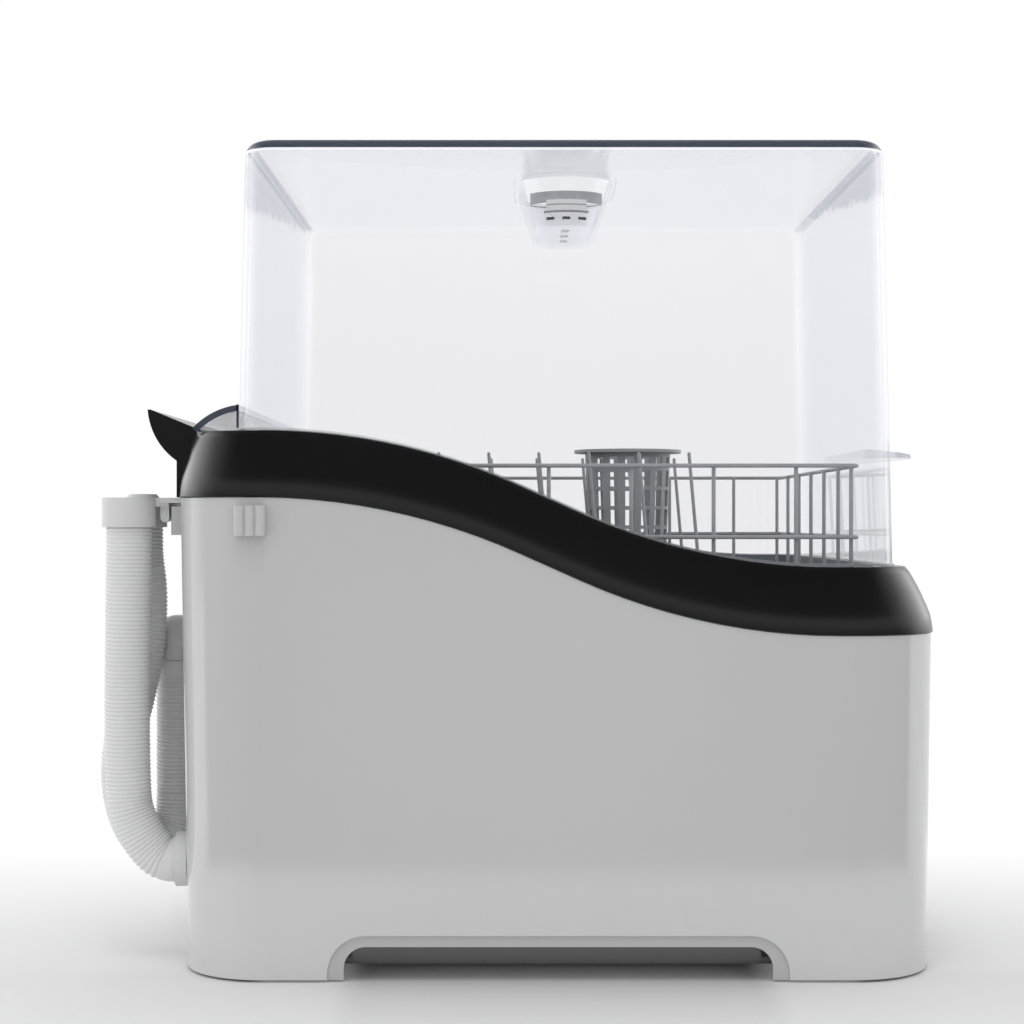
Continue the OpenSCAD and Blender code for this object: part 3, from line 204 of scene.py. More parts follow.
def body_plastic():
    """Satin white-grey moulded plastic, with a fine moulded grain."""
    colour = (0.572, 0.572, 0.575)
    f = Finish("body_plastic", Specular_IOR_Level=1.0)
    x, y, z = f.axes()
    _, _, up = f.axes(f.out(f.add("ShaderNodeNewGeometry"), "Normal"))
    # painted shade: faces that look downwards are made darker, as if shaded
    below = (0 - up).ramp(0.15, 0.6)
    hand_hold = (1 - abs(x - 0.015).ramp(0.1275, 0.1285)) * (1 - z.ramp(0.0260, 0.0265)) * abs(y).ramp(0.160, 0.165)
    # painted shade: the hand-hold's sunk border is made darker
    painted_border_shade = hand_hold * (1 - abs(y).ramp(0.2003, 0.2006))
    drift = f.noise(3.0, 2.0)
    scuff = f.noise(55.0, 4.0, 0.6).ramp(0.62, 0.85)
    low = 1 - z.ramp(0.0, 0.05)
    shade = f.mix(drift * 0.6, tone(colour, 0.975), tone(colour, 1.03))
    shade = f.mix(scuff * low * 0.25, shade, tone(colour, 0.86))
    shade = f.mix(below, shade, tone(colour, 0.72))
    shade = f.mix(painted_border_shade, shade, tone(colour, 0.74))
    # painted shadow: the hand-hold's pocket is made near black
    painted_pocket_shadow = hand_hold * (1 - abs(y).ramp(0.190, 0.195))
    f.feed("Base Color", f.mix(painted_pocket_shadow, shade, tone(colour, 0.12)))
    f.feed("Roughness", 0.09 + f.noise(24.0, 3.0) * 0.03 + scuff * 0.05)
    f.bump(f.noise(1400.0, 2.0), 0.00001)
    return f.material


def black_gloss():
    """Deep black moulded plastic of the rim and hinge."""
    colour = (0.0065, 0.0065, 0.0072)
    f = Finish("black_gloss", Specular_IOR_Level=0.5)
    drift = f.noise(6.0, 3.0)
    dust = f.noise(420.0, 3.0, 0.7).ramp(0.70, 0.82)
    shade = f.mix(drift, tone(colour, 0.8), tone(colour, 1.25))
    f.feed("Base Color", f.mix(dust * 0.12, shade, (0.05, 0.05, 0.052)))
    f.feed("Roughness", 0.21 + drift * 0.04 + dust * 0.08)
    f.bump(f.noise(1100.0, 2.0), 0.00002)
    return f.material


def tub_plastic():
    """Slate-grey tub, a little chalky from water."""
    colour = (0.165, 0.195, 0.215)
    f = Finish("tub_plastic", Specular_IOR_Level=0.4)
    x, y, z = f.axes()
    cloud = f.noise(14.0, 4.0, 0.6)
    tide = f.noise(30.0, 2.0, vector=f.stretched(1, 1, 6)).ramp(0.5, 0.8)
    shade = f.mix(cloud, tone(colour, 0.86), tone(colour, 1.14))
    shade = f.mix(tide * 0.12, shade, (0.42, 0.44, 0.45))
    f.feed("Base Color", shade)
    f.feed("Roughness", 0.42 + cloud * 0.12)
    f.bump(f.noise(800.0, 2.0), 0.00004)
    return f.material


def plain_plastic(name, colour, rough, grain=900.0, depth=0.00004, wear=0.0):
    """Moulded plastic with a fine grain and a slow drift of its tone."""
    f = Finish(name, Specular_IOR_Level=0.45)
    drift = f.noise(18.0, 4.0, 0.55)
    fleck = f.noise(260.0, 3.0, 0.7).ramp(0.6, 0.8)
    shade = f.mix(drift, tone(colour, 0.90), tone(colour, 1.10))
    f.feed("Base Color", f.mix(fleck * (0.08 + wear), shade, tone(colour, 0.75)))
    f.feed("Roughness", rough + drift * 0.08)
    f.bump(f.noise(grain, 2.0) + drift * 0.3, depth)
    return f.material


def coated_wire():
    """Grey plastic skin of dipped wire, thicker in places."""
    colour = (0.375, 0.385, 0.400)
    f = Finish("coated_wire", Specular_IOR_Level=0.5)
    pool = f.noise(60.0, 3.0)
    fleck = f.noise(700.0, 2.0)
    f.feed("Base Color", f.mix(pool, tone(colour, 0.85), tone(colour, 1.15)))
    f.feed("Roughness", 0.33 + fleck * 0.12)
    f.bump(pool * 0.6 + fleck * 0.15, 0.0002)
    return f.material


def steel():
    """Brushed steel with short scratches along the part."""
    colour = (0.55, 0.555, 0.56)
    f = Finish("brushed_steel", Metallic=1.0)
    brush = f.noise(40.0, 4.0, 0.65, vector=f.stretched(1, 24, 24))
    cloud = f.noise(25.0, 2.0)
    f.feed("Base Color", f.mix(cloud, tone(colour, 0.9), tone(colour, 1.1)))
    f.feed("Roughness", 0.24 + brush * 0.2)
    f.bump(brush, 0.00005)
    return f.material


def rubber():
    """Matte black rubber with a dusty bloom."""
    colour = (0.028, 0.028, 0.03)
    f = Finish("matte_rubber", Specular_IOR_Level=0.3)
    bloom = f.noise(35.0, 5.0, 0.65).ramp(0.45, 0.8)
    f.feed("Base Color", f.mix(bloom * 0.35, colour, (0.085, 0.083, 0.08)))
    f.feed("Roughness", 0.62 + bloom * 0.2)
    f.bump(f.noise(1500.0, 2.0), 0.00006)
    return f.material


def hose_plastic():
    """Light grey corrugated hose, with a slow drift of its tone and a fine grain."""
    colour = (0.72, 0.72, 0.722)
    f = Finish("hose_plastic", Specular_IOR_Level=0.4)
    drift = f.noise(12.0, 3.0)
    fleck = f.noise(300.0, 3.0)
    f.feed("Base Color", f.mix(drift, tone(colour, 0.95), tone(colour, 1.05)))
    f.feed("Roughness", 0.42 + fleck * 0.12)
    f.bump(fleck, 0.00004)
    return f.material


def board():
    """Green lacquered circuit board with faint tracks."""
    f = Finish("lacquered_board", Specular_IOR_Level=0.5, Coat_Roughness=0.15)
    x, y, z = f.axes()
    track = f.noise(90.0, 0.0, vector=f.stretched(1, 3, 1)).ramp(0.50, 0.52)
    f.feed("Base Color", f.mix(track, (0.012, 0.085, 0.035), (0.025, 0.16, 0.065)))
    f.feed("Roughness", 0.35 + track * 0.1)
    f.bump(track, 0.00004)
    return f.material


def facing(f):
    """0 where a surface is seen straight on, 1 where it is seen edge-on, from either side."""
    return f.out(f.add("ShaderNodeLayerWeight"), "Facing")


def clear_body(f, tint, straight, depth):
    """Joins the light that comes through, greyer where the way through is long and where depth adds painted grey, to
    the mirror of the surface.
    """
    glance = facing(f)
    clear = f.add("ShaderNodeBsdfTransparent", None, {"Color": tint})
    deep = f.add("ShaderNodeBsdfTransparent", None, {"Color": (0.50, 0.53, 0.57)})
    through = f.add("ShaderNodeMixShader", None, {0: (glance ** 4 * 0.18 + depth).least(0.9)})
    f.tree.links.new(clear.outputs[0], through.inputs[1])
    f.tree.links.new(deep.outputs[0], through.inputs[2])
    share = (glance ** 8 * 0.96 + f.noise(5.0, 2.0) * 0.008 + (straight - 0.004)).least(1.0)
    blend = f.add("ShaderNodeMixShader", None, {0: share})
    f.tree.links.new(through.outputs[0], blend.inputs[1])
    f.tree.links.new(f.shader.outputs[0], blend.inputs[2])
    # the outline, where the plastic is seen edge-on, is a thin grey line
    f.feed("Base Color", f.mix(glance.ramp(0.93, 0.985), (0.95, 0.965, 0.985), (0.22, 0.23, 0.26)))
    return blend


def end_wall_painted_reflection(f):
    """Where the lid's end walls are painted greyer, as painted reflections: a wedge under their top edge, that edge,
    and one upright corner.
    """
    x, y, z = f.axes()
    ends = (1 - abs(y).ramp(0.152, 0.164)) * facing(f).ramp(0.6, 0.8)
    ragged = f.noise(60.0, 3.0, vector=f.stretched(1, 1, 0.2)) * 0.014
    wedge = (z - y * 0.1 + ragged - x.ramp(-0.05, 0.05) * 0.007).ramp(0.4535, 0.4575)
    edge = z.ramp(0.4626, 0.4634) * (1 - z.ramp(0.4648, 0.4655))
    in_from_edge = 0.2108 - z * 0.0225 - x
    width = 0.0008 + (1 - z.ramp(0.235, 0.256)) * 0.0018
    corner = (1 - (in_from_edge / width).ramp(0.8, 1.0)) * (1 - z.ramp(0.290, 0.305)) * (1 - y.ramp(-0.158, -0.150))
    return (wedge * (1 - z.ramp(0.4648, 0.4655)) * 0.33 + edge * 0.45) * ends + corner * 0.8


def clear_lid():
    """Clear plastic of the lid."""
    f = Finish("clear_lid", Metallic=1.0, Roughness=0.03)
    blend = clear_body(f, (0.984, 0.983, 0.992), 0.035, end_wall_painted_reflection(f))
    f.tree.links.new(blend.outputs[0], f.output.inputs[0])
    return f.material


def clear_trim():
    """Clear plastic of the lid's tab and grip, a little greyer towards its edges."""
    f = Finish("clear_trim", Metallic=1.0, Roughness=0.05)
    x, y, z = f.axes()
    tip = x.ramp(0.2250, 0.2300)
    near_end = x.ramp(0.183, 0.186) * (1 - x.ramp(0.199, 0.203)) * (-0.064 - y).ramp(0.0, 0.006)
    marks = f.noise(220.0, 2.0).ramp(0.42, 0.50)
    blend = clear_body(f, (0.978, 0.980, 0.987), 0.04, tip * 0.55 + near_end * marks * 0.75 + 0.01)
    f.tree.links.new(blend.outputs[0], f.output.inputs[0])
    return f.material


def painted_dark_edge():
    """Rounded edge of the clear plastic, where its outside shows a painted dark reflection over a painted highlight
    line.
    """
    f = Finish("painted_dark_edge", Metallic=1.0, Roughness=0.03)
    x, y, z = f.axes()
    blend = clear_body(f, (0.984, 0.983, 0.992), 0.035, end_wall_painted_reflection(f))
    slate = f.add("ShaderNodeBsdfPrincipled", None, {"Specular IOR Level": 0.3, "Roughness": 0.2,
                  "Emission Strength": 1.0})
    # painted highlight: a bright line, which also glows a little, under the painted dark band
    line = 1 - z.ramp(0.4627, 0.4633)
    # painted reflection: the dark band along the lid's rounded top edge
    dark = f.mix(f.noise(20.0, 2.0), (0.020, 0.034, 0.060), (0.032, 0.048, 0.078))
    f.tree.links.new(f.mix(line, dark, (0.93, 0.94, 0.96)).socket, slate.inputs["Base Color"])
    f.tree.links.new(f.mix(line, (0.0, 0.0, 0.0), (0.14, 0.14, 0.14)).socket, slate.inputs["Emission Color"])
    outside = 1 - f.out(f.add("ShaderNodeNewGeometry"), "Backfacing")
    shown = outside * (0.96 - line * 0.3) * z.ramp(0.4612, 0.4617)
    whole = f.add("ShaderNodeMixShader", None, {0: shown})
    f.tree.links.new(blend.outputs[0], whole.inputs[1])
    f.tree.links.new(slate.outputs[0], whole.inputs[2])
    f.tree.links.new(whole.outputs[0], f.output.inputs[0])
    return f.material


def painted_dark_end():
    """Cut end of the clear plastic, painted dark all through as a painted reflection of dark surroundings."""
    f = Finish("painted_dark_end", Specular_IOR_Level=0.35, Roughness=0.2)
    drift = f.noise(40.0, 2.0)
    f.feed("Base Color", f.mix(drift, (0.020, 0.032, 0.055), (0.045, 0.060, 0.088)))
    f.feed("Alpha", 0.93 + drift * 0.06)
    return f.material


def silicone():
    """Clear grey silicone of the seal under the lid's edge."""
    f = Finish("silicone", Specular_IOR_Level=0.3)
    cloud = f.noise(40.0, 3.0)
    f.feed("Base Color", f.mix(cloud, (0.30, 0.31, 0.33), (0.42, 0.43, 0.45)))
    f.feed("Roughness", 0.5 + cloud * 0.1)
    f.feed("Alpha", 0.25 + cloud * 0.1)
    return f.material


def smoked_plastic():
    """Smoked clear plastic of the band inside the grip."""
    f = Finish("smoked_plastic", Specular_IOR_Level=0.5)
    drift = f.noise(90.0, 3.0)
    f.feed("Base Color", f.mix(drift, (0.44, 0.445, 0.47), (0.56, 0.565, 0.59)))
    f.feed("Roughness", 0.22 + drift * 0.1)
    f.feed("Alpha", 0.80 + drift * 0.15)
    return f.material


FINISHES = {
    "body_plastic": body_plastic(),
    "black_gloss": black_gloss(),
    "clear_plastic": clear_lid(),
    "tub_plastic": tub_plastic(),
    "grey_plastic": plain_plastic("grey_plastic", (0.38, 0.39, 0.405), 0.38),
    "dark_plastic": plain_plastic("dark_plastic", (0.055, 0.057, 0.062), 0.42),
    "fitting_plastic": plain_plastic("fitting_plastic", (0.66, 0.66, 0.663), 0.34),
    "button_plastic": plain_plastic("button_plastic", (0.45, 0.46, 0.48), 0.3),
    "light_pipe": plain_plastic("light_pipe", (0.72, 0.80, 0.88), 0.12),
    "hose_plastic": hose_plastic(),
    "coated_wire": coated_wire(),
    "steel": steel(),
    "rubber": rubber(),
    "board": board(),
}
SLATE = painted_dark_edge()
SLATE_END = painted_dark_end()
CLEAR_TRIM = clear_trim()
SMOKE = smoked_plastic()
PALE_BAR = plain_plastic("pale_bar", (0.95, 0.95, 0.97), 0.25)
MID_GREY = plain_plastic("mid_grey", (0.32, 0.325, 0.34), 0.3)
SILICONE = silicone()

for part in frame["record"]["subparts"]:
    node = NODES[part["node"]]
    node.data.materials.clear()
    node.data.materials.append(FINISHES[part["material_slot"]])
for name in ("lid_tab", "lid_grip"):
    NODES[name].data.materials[0] = CLEAR_TRIM
NODES["lid_seal"].data.materials[0] = SILICONE


# ---------------------------------------------------------------- mesh work

def piece(name, points, faces, body, slot, stands_for=(), smooth=40.0, second=None, second_faces=(), finish=None):
    """Makes a piece from points in millimetres and its faces, and lets it ride on a body."""
    mesh = bpy.data.meshes.new(name)
    mesh.from_pydata([tuple(c * MM for c in p) for p in points], [], faces)
    made = bmesh.new()
    made.from_mesh(mesh)
    bmesh.ops.recalc_face_normals(made, faces=made.faces)
    made.to_mesh(mesh)
    made.free()
    mesh.polygons.foreach_set("use_smooth", [True] * len(mesh.polygons))
    mesh.materials.append(finish or FINISHES[slot])
    if second is not None:
        mesh.materials.append(second)
        for i in second_faces:
            mesh.polygons[i].material_index = 1
    mesh.set_sharp_from_angle(angle=math.radians(smooth))
    thing = bpy.data.objects.new(name, mesh)
    bpy.context.scene.collection.objects.link(thing)
    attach(thing, body)
    if stands_for:
        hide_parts(*stands_for)
    return thing


def smooth_path(points, step):
    """A smooth curve through the points, sampled every step."""
    fine = []
    for i in range(len(points) - 1):
        p0 = points[max(i - 1, 0)]
        p1, p2 = points[i], points[i + 1]
        p3 = points[min(i + 2, len(points) - 1)]
        count = 24
        for k in range(count):
            t = k / count
            fine.append(0.5 * ((2 * p1) + (p2 - p0) * t + (2 * p0 - 5 * p1 + 4 * p2 - p3) * t * t
                               + (3 * p1 - p0 - 3 * p2 + p3) * t ** 3))
    fine.append(points[-1])
    total = sum((b - a).length for a, b in zip(fine, fine[1:]))
    count = max(2, round(total / step))
    spaced = [fine[0]]
    walked, target, i = 0.0, total / count, 0
    for a, b in zip(fine, fine[1:]):
        length = (b - a).length
        while walked + length >= target - 1e-9 and len(spaced) < count:
            spaced.append(a.lerp(b, (target - walked) / length))
            target += total / count
        walked += length
    spaced.append(fine[-1])
    return spaced, total


def tube_rings(path, radii, sides, points, faces, closed=False):
    """Adds a tube along the path to points and faces, without twist."""
    start = len(points)
    count = len(path)
    along = [(path[(i + 1) % count if closed else min(i + 1, count - 1)]
              - path[(i - 1) % count if closed else max(i - 1, 0)]).normalized() for i in range(count)]
    up = along[0].orthogonal().normalized()
    for i in range(count):
        up = (up - along[i] * up.dot(along[i])).normalized()
        across = along[i].cross(up)
        for k in range(sides):
            a = 2 * math.pi * k / sides
            points.append(path[i] + (up * math.cos(a) + across * math.sin(a)) * radii[i])
    for i in range(count if closed else count - 1):
        for k in range(sides):
            a = start + i * sides + k
            b = start + i * sides + (k + 1) % sides
            j = (i + 1) % count
            d = start + j * sides + k
            c = start + j * sides + (k + 1) % sides
            faces.append((a, b, c, d))
    if not closed:
        faces.append(tuple(start + k for k in range(sides)))
        faces.append(tuple(start + (count - 1) * sides + k for k in range(sides)))


def straight_wire(a, b, radius, points, faces, sides=12, tip_a=False, tip_b=False):
    """A wire from a to b, with rounded tips where they show."""
    a, b = Vector(a), Vector(b)
    step = (b - a).normalized()
    path, radii = [], []
    if tip_a:
        for t in (0.0, 25.0, 55.0):
            path.append(a + step * radius * (1 - math.cos(math.radians(t))))
            radii.append(max(0.12 * radius, radius * math.sin(math.radians(t))))
        path.append(a + step * radius)
        radii.append(radius)
    else:
        path.append(a)
        radii.append(radius)
    if tip_b:
        path.append(b - step * radius)
        radii.append(radius)
        for t in (55.0, 25.0, 0.0):
            path.append(b - step * radius * (1 - math.cos(math.radians(t))))
            radii.append(max(0.12 * radius, radius * math.sin(math.radians(t))))
    else:
        path.append(b)
        radii.append(radius)
    tube_rings(path, radii, sides, points, faces)


# ---------------------------------------------------------------- hoses

DRAIN_ROUTE = [
    (-0.2018, -0.145, 0.059), (-0.2085, -0.145, 0.059), (-0.216, -0.145, 0.063), (-0.224, -0.145, 0.073),
    (-0.2305, -0.145, 0.088), (-0.232, -0.145, 0.104), (-0.2325, -0.145, 0.130), (-0.2325, -0.145, 0.165),
    (-0.232, -0.145, 0.200), (-0.2315, -0.145, 0.235), (-0.2315, -0.145, 0.263)]
INLET_ROUTE = [
    (-0.213, -0.092, 0.1702), (-0.213, -0.092, 0.140), (-0.213, -0.092, 0.110), (-0.213, -0.092, 0.088),
    (-0.214, -0.094, 0.072), (-0.219, -0.098, 0.063), (-0.2265, -0.104, 0.062), (-0.234, -0.110, 0.070),
    (-0.2395, -0.114, 0.086), (-0.2415, -0.116, 0.106), (-0.239, -0.116, 0.128), (-0.2335, -0.115, 0.152),
    (-0.2285, -0.113, 0.178), (-0.2275, -0.111, 0.210), (-0.230, -0.110, 0.235), (-0.230, -0.110, 0.261)]


def corrugated_hose(name, route, outer, pitch, deep, node):
    """A corrugated hose along its route: round ribs with narrow valleys, and plain cuffs at both ends."""
    rows = 6
    path, total = smooth_path([Vector(p) / MM for p in route], pitch / rows)
    count = len(path)
    radii = []
    for i in range(count):
        wave = 0.5 + 0.5 * math.cos(2 * math.pi * i / rows)
        edge = min(i, count - 1 - i) * pitch / rows
        cuff = 1.0 if edge < 9.0 else 0.0
        radii.append(outer / 2 - (0.35 if cuff else deep * wave ** 1.5))
    points, faces = [], []
    tube_rings(path, radii, 32, points, faces)
    hose = piece(name, points, faces, "machine", "hose_plastic", (node,), 70.0)
    round(total * MM, 4)
    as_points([tuple(p * MM) for p in path[::4]] + [route[-1]])
    return hose


corrugated_hose("drain_hose_ribbed", DRAIN_ROUTE, 26.4, 2.35, 0.75, "drain_hose")
corrugated_hose("inlet_hose_ribbed", INLET_ROUTE, 24.4, 2.35, 0.75, "inlet_hose")


# ---------------------------------------------------------------- the wave

WAVE_R, WAVE_START, DROP = 350.0, -165.0, 76.0
WAVE_SIN, WAVE_COS = math.sin(math.radians(24)), math.cos(math.radians(24))
BEND_DROP = WAVE_R * (1 - WAVE_COS)
BEND_1 = WAVE_START + WAVE_R * WAVE_SIN
BEND_2 = BEND_1 + (DROP - 2 * BEND_DROP) / WAVE_SIN * WAVE_COS
WAVE_END = BEND_2 + WAVE_R * WAVE_SIN


def wave(x):
    """Drop of the wave below its rear height, x ahead of the body's own middle."""
    if x <= WAVE_START:
        return 0.0
    if x < BEND_1:
        return WAVE_R - math.sqrt(WAVE_R ** 2 - (x - WAVE_START) ** 2)
    if x < BEND_2:
        return BEND_DROP + (x - BEND_1) * WAVE_SIN / WAVE_COS
    if x < WAVE_END:
        return DROP - WAVE_R + math.sqrt(WAVE_R ** 2 - (WAVE_END - x) ** 2)
    return DROP


def stations(corner_steps, long_steps, short_steps):
    """Places round the plan: side of the corner centre, and the outward direction."""
    found = []
    for sx, sy, turn in ((1, 1, 0), (-1, 1, 90), (-1, -1, 180), (1, -1, 270)):
        for i in range(corner_steps + 1):
            a = math.radians(turn + 90 * i / corner_steps)
            found.append((sx, sy, math.cos(a), math.sin(a)))
        steps = long_steps if turn in (0, 180) else short_steps
        for i in range(1, steps):
            t = 1 - 2 * i / steps
            if turn == 0:
                found.append((t, 1, 0, 1))
            elif turn == 90:
                found.append((-1, t, -1, 0))
            elif turn == 180:
                found.append((-t, -1, 0, -1))
            else:
                found.append((1, -t, 1, 0))
    return found


def loft(sections, points, faces, closed_section=True):
    """Joins equal sections round the ring."""
    start = len(points)
    n, m = len(sections), len(sections[0])
    for section in sections:
        points.extend(section)
    first = len(faces)
    for i in range(n):
        for j in range(m if closed_section else m - 1):
            faces.append((start + i * m + j, start + i * m + (j + 1) % m,
                          start + ((i + 1) % n) * m + (j + 1) % m, start + ((i + 1) % n) * m + j))
    return first


def round_profile(corners):
    """A closed profile of (r, h, radius) corners, each rounded with five points."""
    made = []
    n = len(corners)
    for i, (r, h, bend) in enumerate(corners):
        p = Vector((r, h))
        if bend == 0:
            made.append(p)
            continue
        before = (Vector(corners[i - 1][:2]) - p)
        after = (Vector(corners[(i + 1) % n][:2]) - p)
        reach = min(bend, before.length * 0.45, after.length * 0.45)
        a, b = p + before.normalized() * reach, p + after.normalized() * reach
        for t in (0.0, 0.25, 0.5, 0.75, 1.0):
            made.append(a * (1 - t) ** 2 + p * 2 * t * (1 - t) + b * t * t)
    return made


BODY_CX, BODY_CY, LID_CX, LID_CY = 162.5, 153.0, 162.3, 159.5
LID_AHEAD, LID_R, LID_LEAN, LID_H = 4.0, 19.0, 0.0225, 468.5
REAR_H, RIM_H, BORE_R = 304.0, 37.5, 14.0


def rim_section(s):
    sx, sy, ux, uy = s
    lean_at = REAR_H - RIM_H - wave(sx * BODY_CX + ux * 48)
    r = 48 + 0.016 * lean_at + 1.0
    d = 14.5 - 6.0 * max(0.0, -ux) ** 2
    outside = [(r, 266.8, 0.6), (r - d * 0.09, 276.5, 9.0), (r - d * 0.55, 291.6, 7.0),
               (r - d * 0.93, 301.4, 2.2), (r - d - 1.4, 304.0, 0.5)]
    inside = [(BORE_R, 304.0, 1.2), (BORE_R, 282.0, 0.5), (BORE_R + 3, 282.0, 0.5), (BORE_R + 3, 301.0, 0)]
    back = [(r - d * 0.93 - 3, 301.0, 0), (r - d * 0.55 - 3, 290.6, 0), (r - d * 0.09 - 3, 275.5, 0), (r - 3, 266.8, 0)]
    # the bore follows the lid's plan, so its points are moved onto the body's own before rounding
    ahead = LID_AHEAD + sx * (LID_CX - BODY_CX), sy * (LID_CY - BODY_CY)
    push = ahead[0] * ux + ahead[1] * uy
    corners = outside + [(a + push, b, c) for a, b, c in inside] + back
    section = []
    for q in round_profile(corners):
        mixed = min(1.0, max(0.0, (r - d - 1.4 - q[0]) / max(1.0, r - d - 1.4 - BORE_R - push)))
        side = (ahead[0] - push * ux) * mixed, (ahead[1] - push * uy) * mixed
        x = sx * BODY_CX + ux * q[0] + side[0]
        section.append(Vector((x + SHIFT, sy * BODY_CY + uy * q[0] + side[1], q[1] - wave(x))))
    return section


def cut_box(thing, low, high):
    """Cuts a box out of a piece."""
    mesh = bpy.data.meshes.new("cutter")
    corners = [(x, y, z) for x in (low[0], high[0]) for y in (low[1], high[1]) for z in (low[2], high[2])]
    sides = [(0, 1, 3, 2), (4, 6, 7, 5), (0, 4, 5, 1), (2, 3, 7, 6), (0, 2, 6, 4), (1, 5, 7, 3)]
    mesh.from_pydata([tuple(c * MM for c in p) for p in corners], [], sides)
    cutter = bpy.data.objects.new("cutter", mesh)
    bpy.context.scene.collection.objects.link(cutter)
    change = thing.modifiers.new("cut", "BOOLEAN")
    change.operation = "DIFFERENCE"
    change.solver = "EXACT"
    change.object = cutter
    bpy.context.view_layer.update()
    result = bpy.data.meshes.new_from_object(thing.evaluated_get(bpy.context.evaluated_depsgraph_get()))
    thing.modifiers.clear()
    thing.data = result
    bpy.data.objects.remove(cutter)
    thing.data.set_sharp_from_angle(angle=math.radians(32))


def make_rim():
    points, faces = [], []
    loft([rim_section(s) for s in stations(22, 110, 40)], points, faces)
    rim = piece("wave_rim", points, faces, "machine", "black_gloss", ("rim",), 32.0)
    cut_box(rim, (-400, -165.3, 266.7), (-196.24 + SHIFT, 165.3, 400))


make_rim()


# ---------------------------------------------------------------- lid

def lid_outline(s, r, h, x_shift=LID_AHEAD):
    x = x_shift + s[0] * LID_CX + s[2] * r
    return x, s[1] * LID_CY + s[3] * r, h


def lid_shell():
    """The lid's clear walls and top: outside, foot, inside, and the hole for the grip."""
    around = stations(14, 110, 30)
    points, faces = [], []
    sections = []
    for s in around:
        foot_x = LID_AHEAD + s[0] * LID_CX + s[2] * 22.5
        foot = 305.8 - wave(foot_x)
        outside = [(LID_R + LID_LEAN * (LID_H - h), h) for h in
                   [foot + (LID_H - 8 - foot) * t for t in (0.0, 0.25, 0.5, 0.75, 0.98, 1.0)]]
        for a in (15, 30, 45, 60, 75, 90):
            outside.append((LID_R - 8 + 8 * math.cos(math.radians(a)), LID_H - 8 + 8 * math.sin(math.radians(a))))
        inside = []
        for a in (90, 67.5, 45, 22.5):
            inside.append((LID_R - 8 + 5 * math.cos(math.radians(a)), LID_H - 8 + 5 * math.sin(math.radians(a))))
        inside += [(LID_R + LID_LEAN * (LID_H - h) - 3, h) for h in
                   [foot + (LID_H - 8 - foot) * t for t in (1.0, 0.75, 0.5, 0.25, 0.0)]]
        sections.append([Vector(lid_outline(s, r, h)) + Vector((SHIFT, 0, 0)) for r, h in outside + inside])
    m = len(sections[0])
    n = len(sections)
    outer_top, inner_top = 11, 12
    for section in sections:
        points.extend(section)
    edge_faces = []
    for i in range(n):
        for j in range(m):
            if j == outer_top:
                continue
            if 4 <= j <= 10:
                edge_faces.append(len(faces))
            faces.append((i * m + j, i * m + (j + 1) % m, ((i + 1) % n) * m + (j + 1) % m, ((i + 1) % n) * m + j))
    # the top, with the grip's hole
    hole = []
    for level in (LID_H, LID_H - 3):
        ring = []
        for k in range(64):
            a = 2 * math.pi * k / 64
            y = 32.2 * math.sin(a) + math.copysign(34.5, math.sin(a)) * (1 if abs(math.sin(a)) > 1e-9 else 0)
            ring.append(len(points))
            points.append(Vector((LID_AHEAD + 4 + SHIFT + 32.2 * math.cos(a), y, level)))
        hole.append(ring)
    for k in range(64):
        faces.append((hole[0][k], hole[0][(k + 1) % 64], hole[1][(k + 1) % 64], hole[1][k]))
    mesh_points = [tuple(p) for p in points]
    for column, ring in ((outer_top, hole[0]), (inner_top, hole[1])):
        loop = [i * m + column for i in range(n)]
        faces.extend(fill_between(mesh_points, loop, ring))
    return points, faces, edge_faces


def fill_between(points, outer, inner):
    """Fills the flat ring between an outer and an inner loop of point numbers."""
    made = bmesh.new()
    verts = {i: made.verts.new(points[i]) for i in outer + inner}
    numbers = {v: i for i, v in verts.items()}
    edges = [made.edges.new((verts[loop[k]], verts[loop[(k + 1) % len(loop)]]))
             for loop in (outer, inner) for k in range(len(loop))]
    bmesh.ops.triangle_fill(made, use_beauty=True, use_dissolve=False, edges=edges)
    found = [tuple(numbers[v] for v in f.verts) for f in made.faces]
    made.free()
    return found


def rear_cover():
    """The lid's rounded rear cover, a shallow arc with cut ends that carry a painted dark reflection."""
    cx, cz, cover_r, wall = -175.0 + SHIFT, 277.5, 42.0, 3.5
    points, faces, ends = [], [], []
    low, high = 137.4, 97.0
    steps = 24
    half = 170.5
    for y in (-half, half):
        for i in range(steps + 1):
            a = math.radians(low + (high - low) * i / steps)
            for r in (cover_r, cover_r - wall):
                points.append(Vector((cx + r * math.cos(a), y, cz + r * math.sin(a))))
    row = 2 * (steps + 1)
    for i in range(steps):
        a, b = 2 * i, 2 * i + 2
        faces.append((a, b, row + b, row + a))
        faces.append((a + 1, row + a + 1, row + b + 1, b + 1))
        ends.append(len(faces))
        faces.append((a, a + 1, b + 1, b))
        ends.append(len(faces))
        faces.append((row + a, row + b, row + b + 1, row + a + 1))
    faces.append((0, row, row + 1, 1))
    last = 2 * steps
    faces.append((last, last + 1, row + last + 1, row + last))
    # the upright edge of each end, against the lid's corner
    for side in (-1, 1):
        start = len(points)
        points.extend(Vector((x, y, z)) for x in (-181.0 + SHIFT, -179.8 + SHIFT)
                      for y in (side * (half - 1.8), side * half) for z in (306.2, 319.4))
        for corners in ((0, 1, 3, 2), (4, 6, 7, 5), (0, 4, 5, 1), (2, 3, 7, 6), (0, 2, 6, 4), (1, 5, 7, 3)):
            ends.append(len(faces))
            faces.append(tuple(start + k for k in corners))
    return points, faces, ends


lid_points, lid_faces, lid_edges = lid_shell()
# the lid's rounded top edge takes the painted dark band and the painted highlight line
piece("clear_lid_shell", lid_points, lid_faces, "lid_body", "clear_plastic", ("lid",), 40.0, SLATE, lid_edges)
cover_points, cover_faces, cover_ends = rear_cover()
piece("lid_rear_cover", cover_points, cover_faces, "lid_body", "clear_plastic", (), 40.0, SLATE_END, cover_ends)


